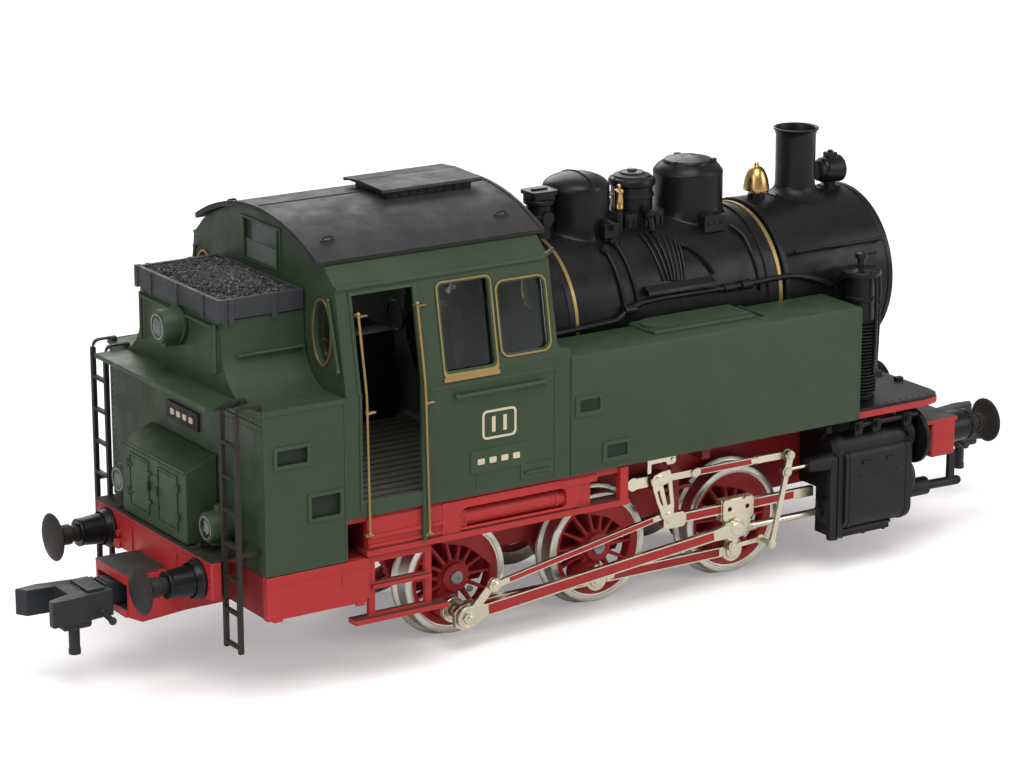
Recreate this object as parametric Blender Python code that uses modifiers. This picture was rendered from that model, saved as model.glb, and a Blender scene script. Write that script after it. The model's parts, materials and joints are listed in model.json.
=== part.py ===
"""Three-axle tank locomotive model, gauge 45 mm, scale 1:32.

Frame: +X to the chimney end, +Y to the engine's left, +Z up.  The origin is
under the middle axle, on the plane of the wheel flanges' lowest points.
All dimensions are millimetres above the rail head; point() turns them into
metres above the flange plane.
"""
import math
from types import SimpleNamespace

import bmesh
import bpy
from mathutils import Matrix, Vector

# ------------------------------------------------------------ dimensions (mm)
MM = 0.001
FLANGE = 1.5                 # flange depth below the rail head
GAP = 0.3                    # clearance between separate pieces
PLAY = 0.35                  # radial play of pins and axles in their holes
RIGHT, LEFT = -1, 1          # sign of y on each side
SIDES = ((RIGHT, "right"), (LEFT, "left"))
FORWARD, UP = (1, 0, 0), (0, 0, 1)

WHEELBASE = 50.0             # axle to axle
AXLES_X = (-WHEELBASE, 0.0, WHEELBASE)
TREAD_R = 17.2
AXLE_R = 2.0
REAR_AXLE = (-WHEELBASE, TREAD_R)
BACK_TO_BACK = 40.0
WHEEL_W = 6.0
CRANK_R = 8.7
CRANK_DEG = -118.0           # right-hand crank at rest
QUARTER_DEG = 90.0           # left-hand crank leads by this
PIN_R = 1.6
PIN_HOLE_R = PIN_R + PLAY

BODY_Y = 46.0                # half width over the tanks
WALL = 2                     # tank, bunker and barrel walls
TANK_Z = (48.5, 84.0)
TANK_X = (-23.2, 82.3)
BOILER_Z, BOILER_R = 84.3, 24.7
BOILER_X = (-36.0, 68.9)
SMOKE_R, SMOKE_X = 25.7, (69.3, 110.5)
CAB_X = (-97.6, -23.5)
BUNKER_X = (-123.5, CAB_X[0] - GAP)
ROOF_R, ROOF_CZ = 73.5, 55.3
CEILING_R = 72.0             # top of the cab body, under the roof
BUFFER_Y, BUFFER_Z = 27.35, 33.1
BUFFER_FACE_X = {"rear": -153.7, "front": 150.45}
COUPLER_PIVOT_X = {"rear": -139.5, "front": 128.0}
TIP_X = 173.5                # coupler tips, both ends

# planes of the motion, distance from the centre line (inner, outer)
COUPLING = (29.9, 31.7)
HEAD = (32.0, 32.6)
GUIDE = (33.9, 35.6)
MAIN = (36.9, 38.5)
RETURN = (38.8, 39.7)
LINKS_IN = (39.4, 40.4)
ECCENTRIC = (40.0, 41.0)
LINKS_OUT = (41.3, 42.3)

# points in the plane of the motion are (x, z)
MAIN_LEN = 97.2              # main rod, pin to pin
CYL_Z = 17.4                 # piston rod centre line
PISTON_Y = 34.8
GUDGEON_Z = 18.7             # crosshead pin
LINK_TOP = (10.8, 40.2)      # expansion link pivot
LINK_R = 11.93               # pivot to eccentric rod pin
LINK_DEG = 17.0              # lean of the right-hand link, sets the eccentric rod's length
ECC_R, ECC_DEG = 4.41, 13.1  # eccentric pin about the axle, right side
LEVER_AT = (58.2, 35.0)      # combination lever pivot on the valve spindle
LEVER_UP, LEVER_DOWN = 5.0, 22.6
LEVER_PLUMB_X = 47.85        # crosshead pin's x when the lever hangs plumb

# ------------------------------------------------------------------- scene
for old in list(bpy.data.objects):
    bpy.data.objects.remove(old, do_unlink=True)
ENGINE = bpy.data.collections.new("TankLocomotive")
bpy.context.scene.collection.children.link(ENGINE)

# --------------------------------------------------------------- materials
GREEN = dict(colour=(0.058, 0.094, 0.064), roughness=0.50, metallic=0.0)
RED = dict(colour=(0.50, 0.033, 0.033), roughness=0.45, metallic=0.0)
BLACK = dict(colour=(0.016, 0.018, 0.019), roughness=0.45, metallic=0.0)
ROOF = dict(colour=(0.030, 0.030, 0.032), roughness=0.55, metallic=0.0)
NICKEL = dict(colour=(0.62, 0.57, 0.44), roughness=0.30, metallic=1.0)
BRASS = dict(colour=(0.60, 0.38, 0.12), roughness=0.30, metallic=1.0)
COAL = dict(colour=(0.008, 0.008, 0.008), roughness=0.6, metallic=0.0)
SLATE = dict(colour=(0.045, 0.048, 0.055), roughness=0.6, metallic=0.0)
STEEL = dict(colour=(0.30, 0.30, 0.31), roughness=0.40, metallic=1.0)


def material(name, colour, roughness, metallic):
    mat = bpy.data.materials.new(name)
    mat.use_nodes = True
    shader = mat.node_tree.nodes["Principled BSDF"]
    shader.inputs["Base Color"].default_value = (*colour, 1.0)
    shader.inputs["Roughness"].default_value = roughness
    shader.inputs["Metallic"].default_value = metallic
    return mat


# ------------------------------------------------------------ solid makers
def point(x, y, z):
    return Vector((x * MM, y * MM, (z + FLANGE) * MM))


def new_object(data):
    obj = bpy.data.objects.new("solid", data)
    ENGINE.objects.link(obj)
    return obj


def from_bmesh(bm):
    bmesh.ops.recalc_face_normals(bm, faces=bm.faces)
    mesh = bpy.data.meshes.new("solid")
    bm.to_mesh(mesh)
    bm.free()
    return new_object(mesh)


def baked(obj):
    """The object's evaluated mesh, welded, in world space, as a new object."""
    bpy.context.view_layer.update()
    graph = bpy.context.evaluated_depsgraph_get()
    mesh = bpy.data.meshes.new_from_object(obj.evaluated_get(graph))
    mesh.transform(obj.matrix_world)
    bpy.data.objects.remove(obj, do_unlink=True)
    bm = bmesh.new()
    bm.from_mesh(mesh)
    bmesh.ops.remove_doubles(bm, verts=bm.verts, dist=1e-6)
    bmesh.ops.recalc_face_normals(bm, faces=bm.faces)
    bm.to_mesh(mesh)
    bm.free()
    return new_object(mesh)


def box(x, y, z, bevel=0.0, segments=1, chosen=None):
    """A box between pairs of limits; chosen(direction, offset) picks the edges to bevel."""
    bm = bmesh.new()
    bmesh.ops.create_cube(bm, size=1.0)
    low = point(min(x), min(y), min(z))
    high = point(max(x), max(y), max(z))
    middle = (low + high) / 2
    bmesh.ops.scale(bm, vec=high - low, verts=bm.verts)
    bmesh.ops.translate(bm, vec=middle, verts=bm.verts)
    if bevel:
        edges = []
        for edge in bm.edges:
            start, end = (vert.co for vert in edge.verts)
            if chosen is None or chosen((end - start).normalized(), (start + end) / 2 - middle):
                edges.append(edge)
        bmesh.ops.bevel(bm, geom=edges, offset=bevel * MM, segments=segments, profile=0.5,
                        affect="EDGES")
    return from_bmesh(bm)


def top_edges(direction, offset):
    return offset.z > 0


def top_and_front_edges(direction, offset):
    """The top edges and the upright edges at the front."""
    return offset.z > 0 or (abs(direction.z) > 0.9 and offset.x > 0)


def crosswise_edges(direction, offset):
    return abs(direction.y) > 0.9


def rear_crosswise_edges(direction, offset):
    return abs(direction.y) > 0.9 and offset.x < 0


def span(side, pair):
    """A pair of distances from the centre line, on the given side."""
    return (side * pair[0], side * pair[1])


def side_box(side, x, y, z, *bevel):
    return box(x, span(side, y), z, *bevel)


def rod(start, end, radius, sides, end_radius=None):
    """A cylinder, or a cone if end_radius is given, between two points."""
    a, b = point(*start), point(*end)
    bm = bmesh.new()
    bmesh.ops.create_cone(bm, cap_ends=True, segments=sides, radius1=radius * MM,
                          radius2=(radius if end_radius is None else end_radius) * MM,
                          depth=(b - a).length)
    turn = (b - a).to_track_quat("Z", "Y").to_matrix().to_4x4()
    bmesh.ops.transform(bm, matrix=Matrix.Translation((a + b) / 2) @ turn, verts=bm.verts)
    return from_bmesh(bm)


def rod_x(x, y, z, radius, sides, end_radius=None):
    return rod((x[0], y, z), (x[1], y, z), radius, sides, end_radius)


def rod_y(centre, y, radius, sides):
    """A rod across the engine; centre is (x, z)."""
    return rod((centre[0], y[0], centre[1]), (centre[0], y[1], centre[1]), radius, sides)


def rod_z(x, y, z, radius, sides):
    return rod((x, y, z[0]), (x, y, z[1]), radius, sides)


def extruded(loops, axis, limits):
    """An outline (and its holes) extruded along X, Y or Z between two limits."""
    curve = bpy.data.curves.new("outline", "CURVE")
    curve.dimensions = "2D"
    curve.fill_mode = "BOTH"
    curve.extrude = abs(limits[1] - limits[0]) / 2 * MM
    for loop in loops:
        spline = curve.splines.new("POLY")
        spline.points.add(len(loop) - 1)
        for corner, (u, w) in zip(spline.points, loop):
            corner.co = (u * MM, w * MM, 0, 1)
        spline.use_cyclic_u = True
    obj = new_object(curve)
    middle = (limits[0] + limits[1]) / 2
    if axis == "Y":           # outline is (x, z)
        turn = Matrix.Rotation(math.pi / 2, 4, "X")
        obj.matrix_world = Matrix.Translation(point(0, middle, 0)) @ turn
    elif axis == "X":         # outline is (y, z)
        turn = Matrix(((0, 0, 1, 0), (1, 0, 0, 0), (0, 1, 0, 0), (0, 0, 0, 1)))
        obj.matrix_world = Matrix.Translation(point(middle, 0, 0)) @ turn
    else:                     # outline is (x, y)
        obj.matrix_world = Matrix.Translation(point(0, 0, middle))
    return baked(obj)


def turned(profile, steps, at, axis=UP):
    """A profile of (radius, height along the axis) screwed round an axis."""
    mesh = bpy.data.meshes.new("profile")
    mesh.from_pydata([(radius * MM, 0, height * MM) for radius, height in profile],
                     [(i, i + 1) for i in range(len(profile) - 1)], [])
    obj = new_object(mesh)
    screw = obj.modifiers.new("Screw", "SCREW")
    screw.axis = "Z"
    screw.steps = screw.render_steps = steps
    screw.use_merge_vertices = True
    screw.merge_threshold = 1e-6
    turn = Vector(axis).to_track_quat("Z", "Y").to_matrix().to_4x4()
    obj.matrix_world = Matrix.Translation(point(*at)) @ turn
    return baked(obj)


def boolean(base, tool, operation):
    mod = base.modifiers.new("Boolean", "BOOLEAN")
    mod.operation = operation
    mod.solver = "EXACT"
    mod.object = tool
    result = baked(base)
    bpy.data.objects.remove(tool, do_unlink=True)
    return result


def union(base, *others):
    for other in others:
        base = boolean(base, other, "UNION")
    return base


def cut(base, *tools):
    for tool in tools:
        base = boolean(base, tool, "DIFFERENCE")
    return base


def tidy(obj):
    """Dissolves the needless edges on flat faces, if the mesh stays closed and sound."""
    bm = bmesh.new()
    bm.from_mesh(obj.data)
    bmesh.ops.dissolve_limit(bm, angle_limit=math.radians(0.2), verts=bm.verts, edges=bm.edges)
    bmesh.ops.triangulate(bm, faces=bm.faces)
    if all(len(edge.link_faces) == 2 and edge.calc_length() > 1e-6 for edge in bm.edges):
        bm.to_mesh(obj.data)
    bm.free()


def finish(obj, name, look, origin=None):
    """Names a finished solid, gives it a material, its origin and smooth shading."""
    tidy(obj)
    obj.name = name
    obj.data.name = name
    obj.data.materials.clear()
    obj.data.materials.append(material(name + "_mat", **look))
    if origin is not None:
        at = point(*origin)
        obj.data.transform(Matrix.Translation(-at))
        obj.location = at
    obj.data.shade_smooth()
    obj.data.set_sharp_from_angle(angle=math.radians(35))


# ---------------------------------------------------------------- outlines
def polar(centre, radius, angle):
    return (centre[0] + radius * math.cos(angle), centre[1] + radius * math.sin(angle))


def hanging(pivot, length, swing):
    """The foot of a lever below its pivot, swung forward by an angle."""
    return (pivot[0] + length * math.sin(swing), pivot[1] - length * math.cos(swing))


def ring(centre, radius, sides, phase=0.0):
    return [polar(centre, radius, phase + 2 * math.pi * i / sides) for i in range(sides)]


def oval(centre, half_width, half_height, sides=12):
    angles = [2 * math.pi * i / sides for i in range(sides)]
    return [(centre[0] + half_width * math.cos(t), centre[1] + half_height * math.sin(t))
            for t in angles]


def rectangle(u, w):
    return [(u[0], w[0]), (u[1], w[0]), (u[1], w[1]), (u[0], w[1])]


def mirrored(line):
    """A (y, z) line carried back down the other side."""
    return [(-y, z) for y, z in reversed(line)]


def bar_outline(start, end, start_radius, end_radius, half, points=7):
    """A bar with round ends and a shank 2*half high."""
    heading = math.atan2(end[1] - start[1], end[0] - start[0])
    outline = []
    for centre, radius, inward in ((start, start_radius, heading),
                                   (end, end_radius, heading + math.pi)):
        neck = math.asin(half / radius)
        outline += [polar(centre, radius,
                          inward + neck + (2 * math.pi - 2 * neck) * i / (points - 1))
                    for i in range(points)]
    return outline


def arch(radius, half, points=11):
    """Points of the roof curve from y = +half to -half."""
    edge = math.asin(half / radius)
    angles = [edge - 2 * edge * i / (points - 1) for i in range(points)]
    return [(radius * math.sin(t), ROOF_CZ + radius * math.cos(t)) for t in angles]


# ------------------------------------------------------- motion geometry
def lower_crossing(centre, radius, rear_centre, rear_radius):
    """The lower crossing of two circles, the second centre lying to the rear."""
    dx, dz = rear_centre[0] - centre[0], rear_centre[1] - centre[1]
    distance = math.hypot(dx, dz)
    along = (radius * radius - rear_radius * rear_radius + distance * distance) / (2 * distance)
    across = math.sqrt(radius * radius - along * along)
    return (centre[0] + along * dx / distance - across * dz / distance,
            centre[1] + along * dz / distance + across * dx / distance)


def gear_points(side):
    """Every pin of one side's motion at rest, as (x, z)."""
    quarter = math.radians(QUARTER_DEG if side == LEFT else 0.0)
    crank = math.radians(CRANK_DEG) + quarter
    pins = [polar((x, TREAD_R), CRANK_R, crank) for x in AXLES_X]
    drop = GUDGEON_Z - pins[0][1]
    gudgeon = (pins[0][0] + math.sqrt(MAIN_LEN ** 2 - drop ** 2), GUDGEON_Z)

    # the eccentric rod's length is taken on the right side and kept on the left
    right_eccentric = polar(REAR_AXLE, ECC_R, math.radians(ECC_DEG))
    right_foot = hanging(LINK_TOP, LINK_R, math.radians(LINK_DEG))
    rod_length = math.dist(right_foot, right_eccentric)
    eccentric = polar(REAR_AXLE, ECC_R, math.radians(ECC_DEG) + quarter)

    swing = math.asin((gudgeon[0] - LEVER_PLUMB_X) / LEVER_DOWN)
    return SimpleNamespace(
        crank=crank, pins=pins, gudgeon=gudgeon, eccentric=eccentric,
        link_foot=lower_crossing(LINK_TOP, LINK_R, eccentric, rod_length),
        lever_foot=hanging(LEVER_AT, LEVER_DOWN, swing),
        lever_head=hanging(LEVER_AT, -LEVER_UP, swing))


GEAR = {side: gear_points(side) for side in (RIGHT, LEFT)}

# --------------------------------------------------------------- wheelsets
SPOKES = 9
SPOKE_INNER_R, SPOKE_OUTER_R = 6.2, 12.9        # ends of the openings
SPOKE_INNER_HALF, SPOKE_OUTER_HALF = 0.85, 0.7  # half widths of a spoke at those ends
FLANGE_R = TREAD_R + FLANGE
# (radius, distance outward from the wheel's back)
WHEEL_PROFILE = [
    (0.0, 6.6), (5.0, 6.6), (5.1, 4.4), (13.9, 4.4), (14.1, 5.8), (16.8, WHEEL_W),
    (TREAD_R, 1.6), (FLANGE_R, 1.0), (FLANGE_R, 0.0), (0.0, 0.0)]


def wheel(axle, side):
    """Flanged tyre, hub and web turned in one, then cut through for the spokes."""
    centre = (AXLES_X[axle], TREAD_R)
    crank = GEAR[side].crank
    solid = turned(WHEEL_PROFILE, 20, (centre[0], side * BACK_TO_BACK / 2, TREAD_R), (0, side, 0))
    inner_half = math.pi / SPOKES - SPOKE_INNER_HALF / SPOKE_INNER_R
    outer_half = math.pi / SPOKES - SPOKE_OUTER_HALF / SPOKE_OUTER_R
    for i in range(SPOKES):
        middle = crank + math.pi / SPOKES + 2 * math.pi * i / SPOKES
        from_crank = abs(math.atan2(math.sin(middle - crank), math.cos(middle - crank)))
        if from_crank < 0.5 or from_crank > 2.6:
            continue                              # crank boss and balance weight stay solid
        opening = [polar(centre, radius, middle + turn) for radius, turn in (
            (SPOKE_INNER_R, -inner_half), (SPOKE_OUTER_R, -outer_half),
            (SPOKE_OUTER_R + 0.5, 0.0), (SPOKE_OUTER_R, outer_half), (SPOKE_INNER_R, inner_half))]
        solid = cut(solid, extruded([opening], "Y", span(side, (17.0, 30.0))))
    return union(solid, rod_y(GEAR[side].pins[axle], span(side, (21.0, 27.4)), 3.4, 10))


def wheelset(axle, tag):
    """Axle, two wheels and crank pins; the rear pins are long enough for the main rods."""
    driven = axle == 0
    solid = rod_y((AXLES_X[axle], TREAD_R), (-24.0, 24.0), AXLE_R, 12)
    for side in (RIGHT, LEFT):
        pin = GEAR[side].pins[axle]
        pin_end = MAIN[1] if driven else HEAD[1] - 0.3
        solid = union(solid, wheel(axle, side), rod_y(pin, span(side, (25.0, pin_end)), PIN_R, 10))
        if not driven:
            solid = union(solid, rod_y(pin, span(side, HEAD), 2.5, 8))
    finish(solid, "wheelset_" + tag, RED, (AXLES_X[axle], 0, TREAD_R))


def drive_gear(teeth=16, root_radius=8.0, tip_radius=9.3):
    outline = []
    for i in range(teeth):
        base = 2 * math.pi * i / teeth
        for fraction, radius in ((0.0, root_radius), (0.2, root_radius),
                                 (0.36, tip_radius), (0.64, tip_radius)):
            outline.append(polar(REAR_AXLE, radius, base + fraction * 2 * math.pi / teeth))
    finish(extruded([outline, ring(REAR_AXLE, AXLE_R + GAP, 12)], "Y", (-2.5, 2.5)),
           "drive_gear", BRASS, (-WHEELBASE, 0, TREAD_R))


for axle, tag in enumerate(("rear", "middle", "front")):
    wheelset(axle, tag)
drive_gear()


# ------------------------------------------------------------- rods, per side
def coupling_rod(side, tag):
    rear, middle, front = GEAR[side].pins
    back = extruded([bar_outline(rear, middle, 3.8, 3.6, 1.7), ring(rear, PIN_HOLE_R, 10)],
                    "Y", span(side, COUPLING))
    fore = extruded([bar_outline(middle, front, 3.6, 3.6, 1.7), ring(front, PIN_HOLE_R, 10)],
                    "Y", span(side, COUPLING))
    solid = cut(union(back, fore), rod_y(middle, span(side, (29.0, 33.0)), PIN_HOLE_R, 10))
    finish(solid, "coupling_rod_" + tag, NICKEL, (rear[0], side * 30.8, rear[1]))


def main_rod(side, tag):
    rear, gudgeon = GEAR[side].pins[0], GEAR[side].gudgeon
    bar = extruded([bar_outline(rear, gudgeon, 4.4, 2.9, 1.9), ring(rear, PIN_HOLE_R, 10)],
                   "Y", span(side, MAIN))
    solid = union(bar, rod_y(gudgeon, span(side, (38.0, 39.0)), 2.5, 10))
    finish(solid, "main_rod_" + tag, NICKEL, (rear[0], side * 37.7, rear[1]))


def return_crank(side, tag):
    rear, eccentric = GEAR[side].pins[0], GEAR[side].eccentric
    bar = extruded([bar_outline(rear, eccentric, 4.0, 1.9, 1.6)], "Y", span(side, RETURN))
    solid = union(bar, rod_y(eccentric, span(side, (39.4, 41.2)), 0.9, 10))
    finish(solid, "return_crank_" + tag, NICKEL, (rear[0], side * 39.2, rear[1]))


def eccentric_rod(side, tag):
    eccentric = GEAR[side].eccentric
    outline = bar_outline(eccentric, GEAR[side].link_foot, 2.0, 1.6, 0.95)
    solid = extruded([outline, ring(eccentric, 1.2, 10)], "Y", span(side, ECCENTRIC))
    finish(solid, "eccentric_rod_" + tag, NICKEL, (eccentric[0], side * 40.5, eccentric[1]))


def crosshead(side, tag):
    """A block round the slide bar, the piston rod and the union link.

    The x values are those of the right side; the left is shifted with its crank.
    """
    gudgeon, lever_foot = GEAR[side].gudgeon, GEAR[side].lever_foot
    shift = gudgeon[0] - GEAR[RIGHT].gudgeon[0]
    piston_end = 90.0 + shift - (0 if side == RIGHT else 7.0)

    def shifted(*xs):
        return tuple(x + shift for x in xs)

    block = side_box(side, shifted(38.4, 50.1), (33.0, 36.6), (20.8, 27.6), 0.3)
    slot = side_box(side, shifted(36.0, 52.0), (33.6, 35.9), (22.7, 26.5))
    neck = side_box(side, shifted(41.0, 48.0), (33.2, 36.5), (15.4, 21.5), 0.3)
    piston = rod_x((44.0 + shift, piston_end), side * PISTON_Y, CYL_Z, 1.1, 10)
    arm_outline = list(zip(shifted(41.2, 44.3, 46.1, 41.7), (11.0, 11.0, 16.5, 17.4)))
    arm = extruded([arm_outline], "Y", span(side, (33.4, 35.3)))
    union_link = extruded([bar_outline((42.8 + shift, 12.4), lever_foot, 1.7, 1.5, 0.8)],
                          "Y", span(side, (35.0, 36.5)))
    stud = rod_y(lever_foot, span(side, (35.6, 41.0)), 0.85, 10)
    finish(union(cut(block, slot), neck, piston, arm, stud, union_link),
           "crosshead_" + tag, NICKEL, (gudgeon[0], side * PISTON_Y, CYL_Z))


# (across, down from the pivot) in the link's own leaning frame
LINK_OUTLINE = [
    (-2.4, -0.6), (-1.2, -2.3), (1.2, -2.3), (4.6, -1.6), (4.6, 0.6), (2.9, 9.5),
    (1.7, 12.9), (0.0, 13.7), (-1.7, 12.9), (-2.2, 10.4), (-2.6, 6.0), (-2.7, 2.4)]
LINK_SLOT = [(-1.2, 3.6), (-0.9, 9.4), (0.5, 9.4), (0.4, 3.6)]


def expansion_link(side, tag):
    foot = GEAR[side].link_foot
    lean = math.atan2(foot[0] - LINK_TOP[0], LINK_TOP[1] - foot[1])

    def leaning(points):
        return [(LINK_TOP[0] + down * math.sin(lean) + across * math.cos(lean),
                 LINK_TOP[1] - down * math.cos(lean) + across * math.sin(lean))
                for across, down in points]

    solid = extruded([leaning(LINK_OUTLINE), leaning(LINK_SLOT)], "Y", span(side, LINKS_OUT))
    finish(solid, "expansion_link_" + tag, NICKEL, (LINK_TOP[0], side * 41.8, LINK_TOP[1]))


def radius_rod(side, tag):
    head = GEAR[side].lever_head
    rear_end = (2.6 + head[0] - GEAR[RIGHT].lever_head[0], 40.0)
    outline = bar_outline(rear_end, (head[0], head[1] - 0.1), 2.0, 1.8, 1.1)
    finish(extruded([outline], "Y", span(side, LINKS_IN)),
           "radius_rod_" + tag, NICKEL, (head[0], side * 39.9, head[1]))


def combination_lever(side, tag):
    head, foot = GEAR[side].lever_head, GEAR[side].lever_foot
    upper = extruded([bar_outline(LEVER_AT, head, 1.8, 1.6, 1.0)], "Y", span(side, LINKS_OUT))
    lower = extruded([bar_outline(LEVER_AT, foot, 1.7, 1.5, 1.1)], "Y", span(side, LINKS_OUT))
    pins = [rod_y(centre, span(side, (42.0, 42.9)), 1.25, 8) for centre in (head, LEVER_AT, foot)]
    finish(union(upper, lower, *pins),
           "combination_lever_" + tag, NICKEL, (LEVER_AT[0], side * 41.8, LEVER_AT[1]))


def slidebar(side, tag):
    """The bar, with a block round its rear end."""
    bar = side_box(side, (18.0, 73.6), GUIDE, (23.0, 26.2), 0.2)
    rear_block = side_box(side, (17.0, 25.0), (33.4, 36.0), (22.2, 26.9), 0.3)
    finish(union(bar, rear_block), "slidebar_" + tag, NICKEL)


# (distance from the centre line, z) of the cylinder block
CYLINDER_OUTLINE = [
    (31.0, 38.0), (31.0, 14.5), (33.5, 11.8), (39.0, 11.8), (41.6, 12.9), (43.3, 15.6),
    (43.8, 19.0), (43.8, 34.0), (42.6, 37.2), (40.0, 38.0)]


def cylinder(side, tag):
    """Cylinder block with valve chest, covers, drain strip and guard tube."""
    block = extruded([[(side * y, z) for y, z in CYLINDER_OUTLINE]], "X", (79.6, 105.6))
    rear_cover = rod_x((74.0, 80.6), side * 36.4, 17.8, 6.4, 12)
    rear_plate = side_box(side, (74.4, 80.0), (31.6, 42.8), (9.6, 38.2), 0.6)
    front_cover = rod_x((105.0, 109.4), side * 36.4, 24.5, 7.0, 12)
    valve_chest = rod_x((75.8, 108.6), side * 38.4, 38.6, 4.9, 12)
    inner_foot = side_box(side, (82.0, 104.0), (17.6, 33.0), (22.0, 41.0))
    drain_strip = side_box(side, (79.0, 99.5), (38.6, 40.8), (9.6, 12.6))
    guard = rod((105.0, side * 34.6, 18.6), (118.6, side * 34.6, 18.4), 2.9, 12)
    tube = rod((116.0, side * 34.6, 18.4), (131.6, side * 34.6, 18.0), 1.5, 10)
    hanger = side_box(side, (127.6, 130.2), (33.8, 35.4), (17.0, 28.4))
    spindle_boss = rod_x((67.0, 75.6), side * 39.4, LEVER_AT[1], 3.4, 10)
    spindle = rod_x((57.4, 78.0), side * 40.1, LEVER_AT[1], 0.65, 8)
    solid = union(block, rear_cover, rear_plate, front_cover, valve_chest, inner_foot,
                  drain_strip, guard, tube, hanger, spindle_boss, spindle)
    bore = rod_x((70.0, 104.4), side * PISTON_Y, CYL_Z, 1.6, 10)
    finish(cut(solid, bore), "cylinder_" + tag, BLACK)


for side, tag in SIDES:
    for make_part in (coupling_rod, main_rod, return_crank, eccentric_rod, crosshead,
                      expansion_link, radius_rod, combination_lever, slidebar, cylinder):
        make_part(side, tag)

# ------------------------------------------------------------- main frame
# (x, z) of a side plate: along the bottom to the front, back along the top
FRAME_OUTLINE = [
    (-133.8, 20.5), (-120.0, 20.6), (-100.0, 26.0), (-70.0, 26.2), (-64.0, 11.5),
    (-36.0, 11.6), (-30.0, 20.0), (-18.0, 20.2), (-13.0, 11.4), (13.0, 11.7),
    (18.0, 20.4), (31.0, 20.1), (36.0, 11.3), (64.0, 11.2), (70.0, 20.7),
    (112.0, 20.9), (117.1, 28.0), (117.2, 40.2), (-87.5, 39.9), (-88.5, 35.6), (-133.9, 35.5)]
# (x limits, z limits) of the cross members
STRETCHERS = [
    ((-118.0, -113.0), (22.6, 33.0)), ((-80.0, -74.0), (28.0, 38.0)),
    ((-28.5, -22.0), (22.0, 38.0)), ((22.0, 28.5), (22.0, 38.0)),
    ((74.0, 80.0), (24.0, 38.0)), ((108.0, 112.0), (24.0, 38.0))]
# (x, z) of the cheeks beside the rear coupler pocket
CHEEK_OUTLINE = [
    (-147.4, 18.8), (-143.4, 16.9), (-129.6, 17.9), (-126.4, 19.4),
    (-125.2, 22.4), (-125.0, 29.9), (-138.0, 31.0), (-147.6, 31.0)]
STRETCHER_Y, WEB_Y, POCKET_Y = (-15.0, 15.0), (-16.0, 16.0), (-9.0, 9.0)
POCKET_BASE_Z = (18.6, 20.9)


def frame_plate(side):
    holes = [ring((x, TREAD_R), AXLE_R + PLAY, 12, 0.11 + x * 0.001) for x in AXLES_X]
    return extruded([FRAME_OUTLINE] + holes, "Y", span(side, (13.6, 16.6)))


def rear_end():
    return [
        box((-134.2, -130.0), WEB_Y, (20.8, 39.3)),                 # web
        box((-134.7, -131.3), (-35.3, 35.3), (28.5, 39.6), 0.5),    # buffer beam
        box((-134.5, -123.9), (-33.7, 33.7), (38.2, 39.9)),         # deck
        box((-148.0, -134.4), POCKET_Y, (28.4, 31.2)),              # pocket top
        box((-148.0, -134.4), POCKET_Y, POCKET_BASE_Z),             # pocket base
        *(extruded([CHEEK_OUTLINE], "Y", span(side, (8.9, 10.1))) for side in (RIGHT, LEFT))]


def front_end():
    return [
        box((113.0, 118.5), WEB_Y, (19.0, 40.2)),                   # web
        box((116.4, 125.9), (-40.0, 40.0), (29.0, 40.7), 0.5),      # buffer beam
        box((110.8, 126.3), (-40.2, 40.2), (40.0, 41.3)),           # deck
        box((117.0, 137.0), POCKET_Y, (28.4, 30.6)),                # pocket top
        box((117.0, 137.0), POCKET_Y, POCKET_BASE_Z)]               # pocket base


def main_frame():
    frame = union(frame_plate(RIGHT), frame_plate(LEFT),
                  *(box(x, STRETCHER_Y, z) for x, z in STRETCHERS), *rear_end(), *front_end())
    for side in (RIGHT, LEFT):                                      # buffer housings, bored
        y = side * BUFFER_Y
        frame = union(frame, rod_x((-134.0, -144.7), y, BUFFER_Z, 4.9, 12, 3.9),
                      rod_x((125.0, 140.6), y, BUFFER_Z, 5.0, 12, 4.8))
        frame = cut(frame, rod_x((-131.0, -150.0), y, BUFFER_Z, 2.6, 10),
                    rod_x((112.0, 144.0), y, BUFFER_Z, 2.6, 10))
    pivots = [rod_z(x, 0, (20.0, 29.0), 1.5, 12) for x in COUPLER_PIVOT_X.values()]
    finish(union(frame, *pivots), "main_frame", RED)


main_frame()

# ------------------------------------------------------- buffers, couplers
# (radius, distance outward from the face)
BUFFER_PROFILE = [
    (0.0, 0.0), (5.6, -0.5), (7.0, -1.2), (6.4, -1.9), (2.4, -3.4), (2.3, -15.5), (0.0, -15.5)]
# (distance back from the tip, y)
JAW_OUTLINE = [
    (23.0, -6.6), (9.0, -8.2), (3.6, -8.2), (3.6, -5.6), (10.5, -3.4),
    (10.5, 4.6), (2.0, 5.2), (0.0, 8.6), (6.5, 9.4), (23.0, 6.6)]


def buffer(end, outward, side, tag):
    at = (BUFFER_FACE_X[end], side * BUFFER_Y, BUFFER_Z)
    finish(turned(BUFFER_PROFILE, 16, at, (outward, 0, 0)), "buffer_" + end + "_" + tag, BLACK, at)


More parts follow.
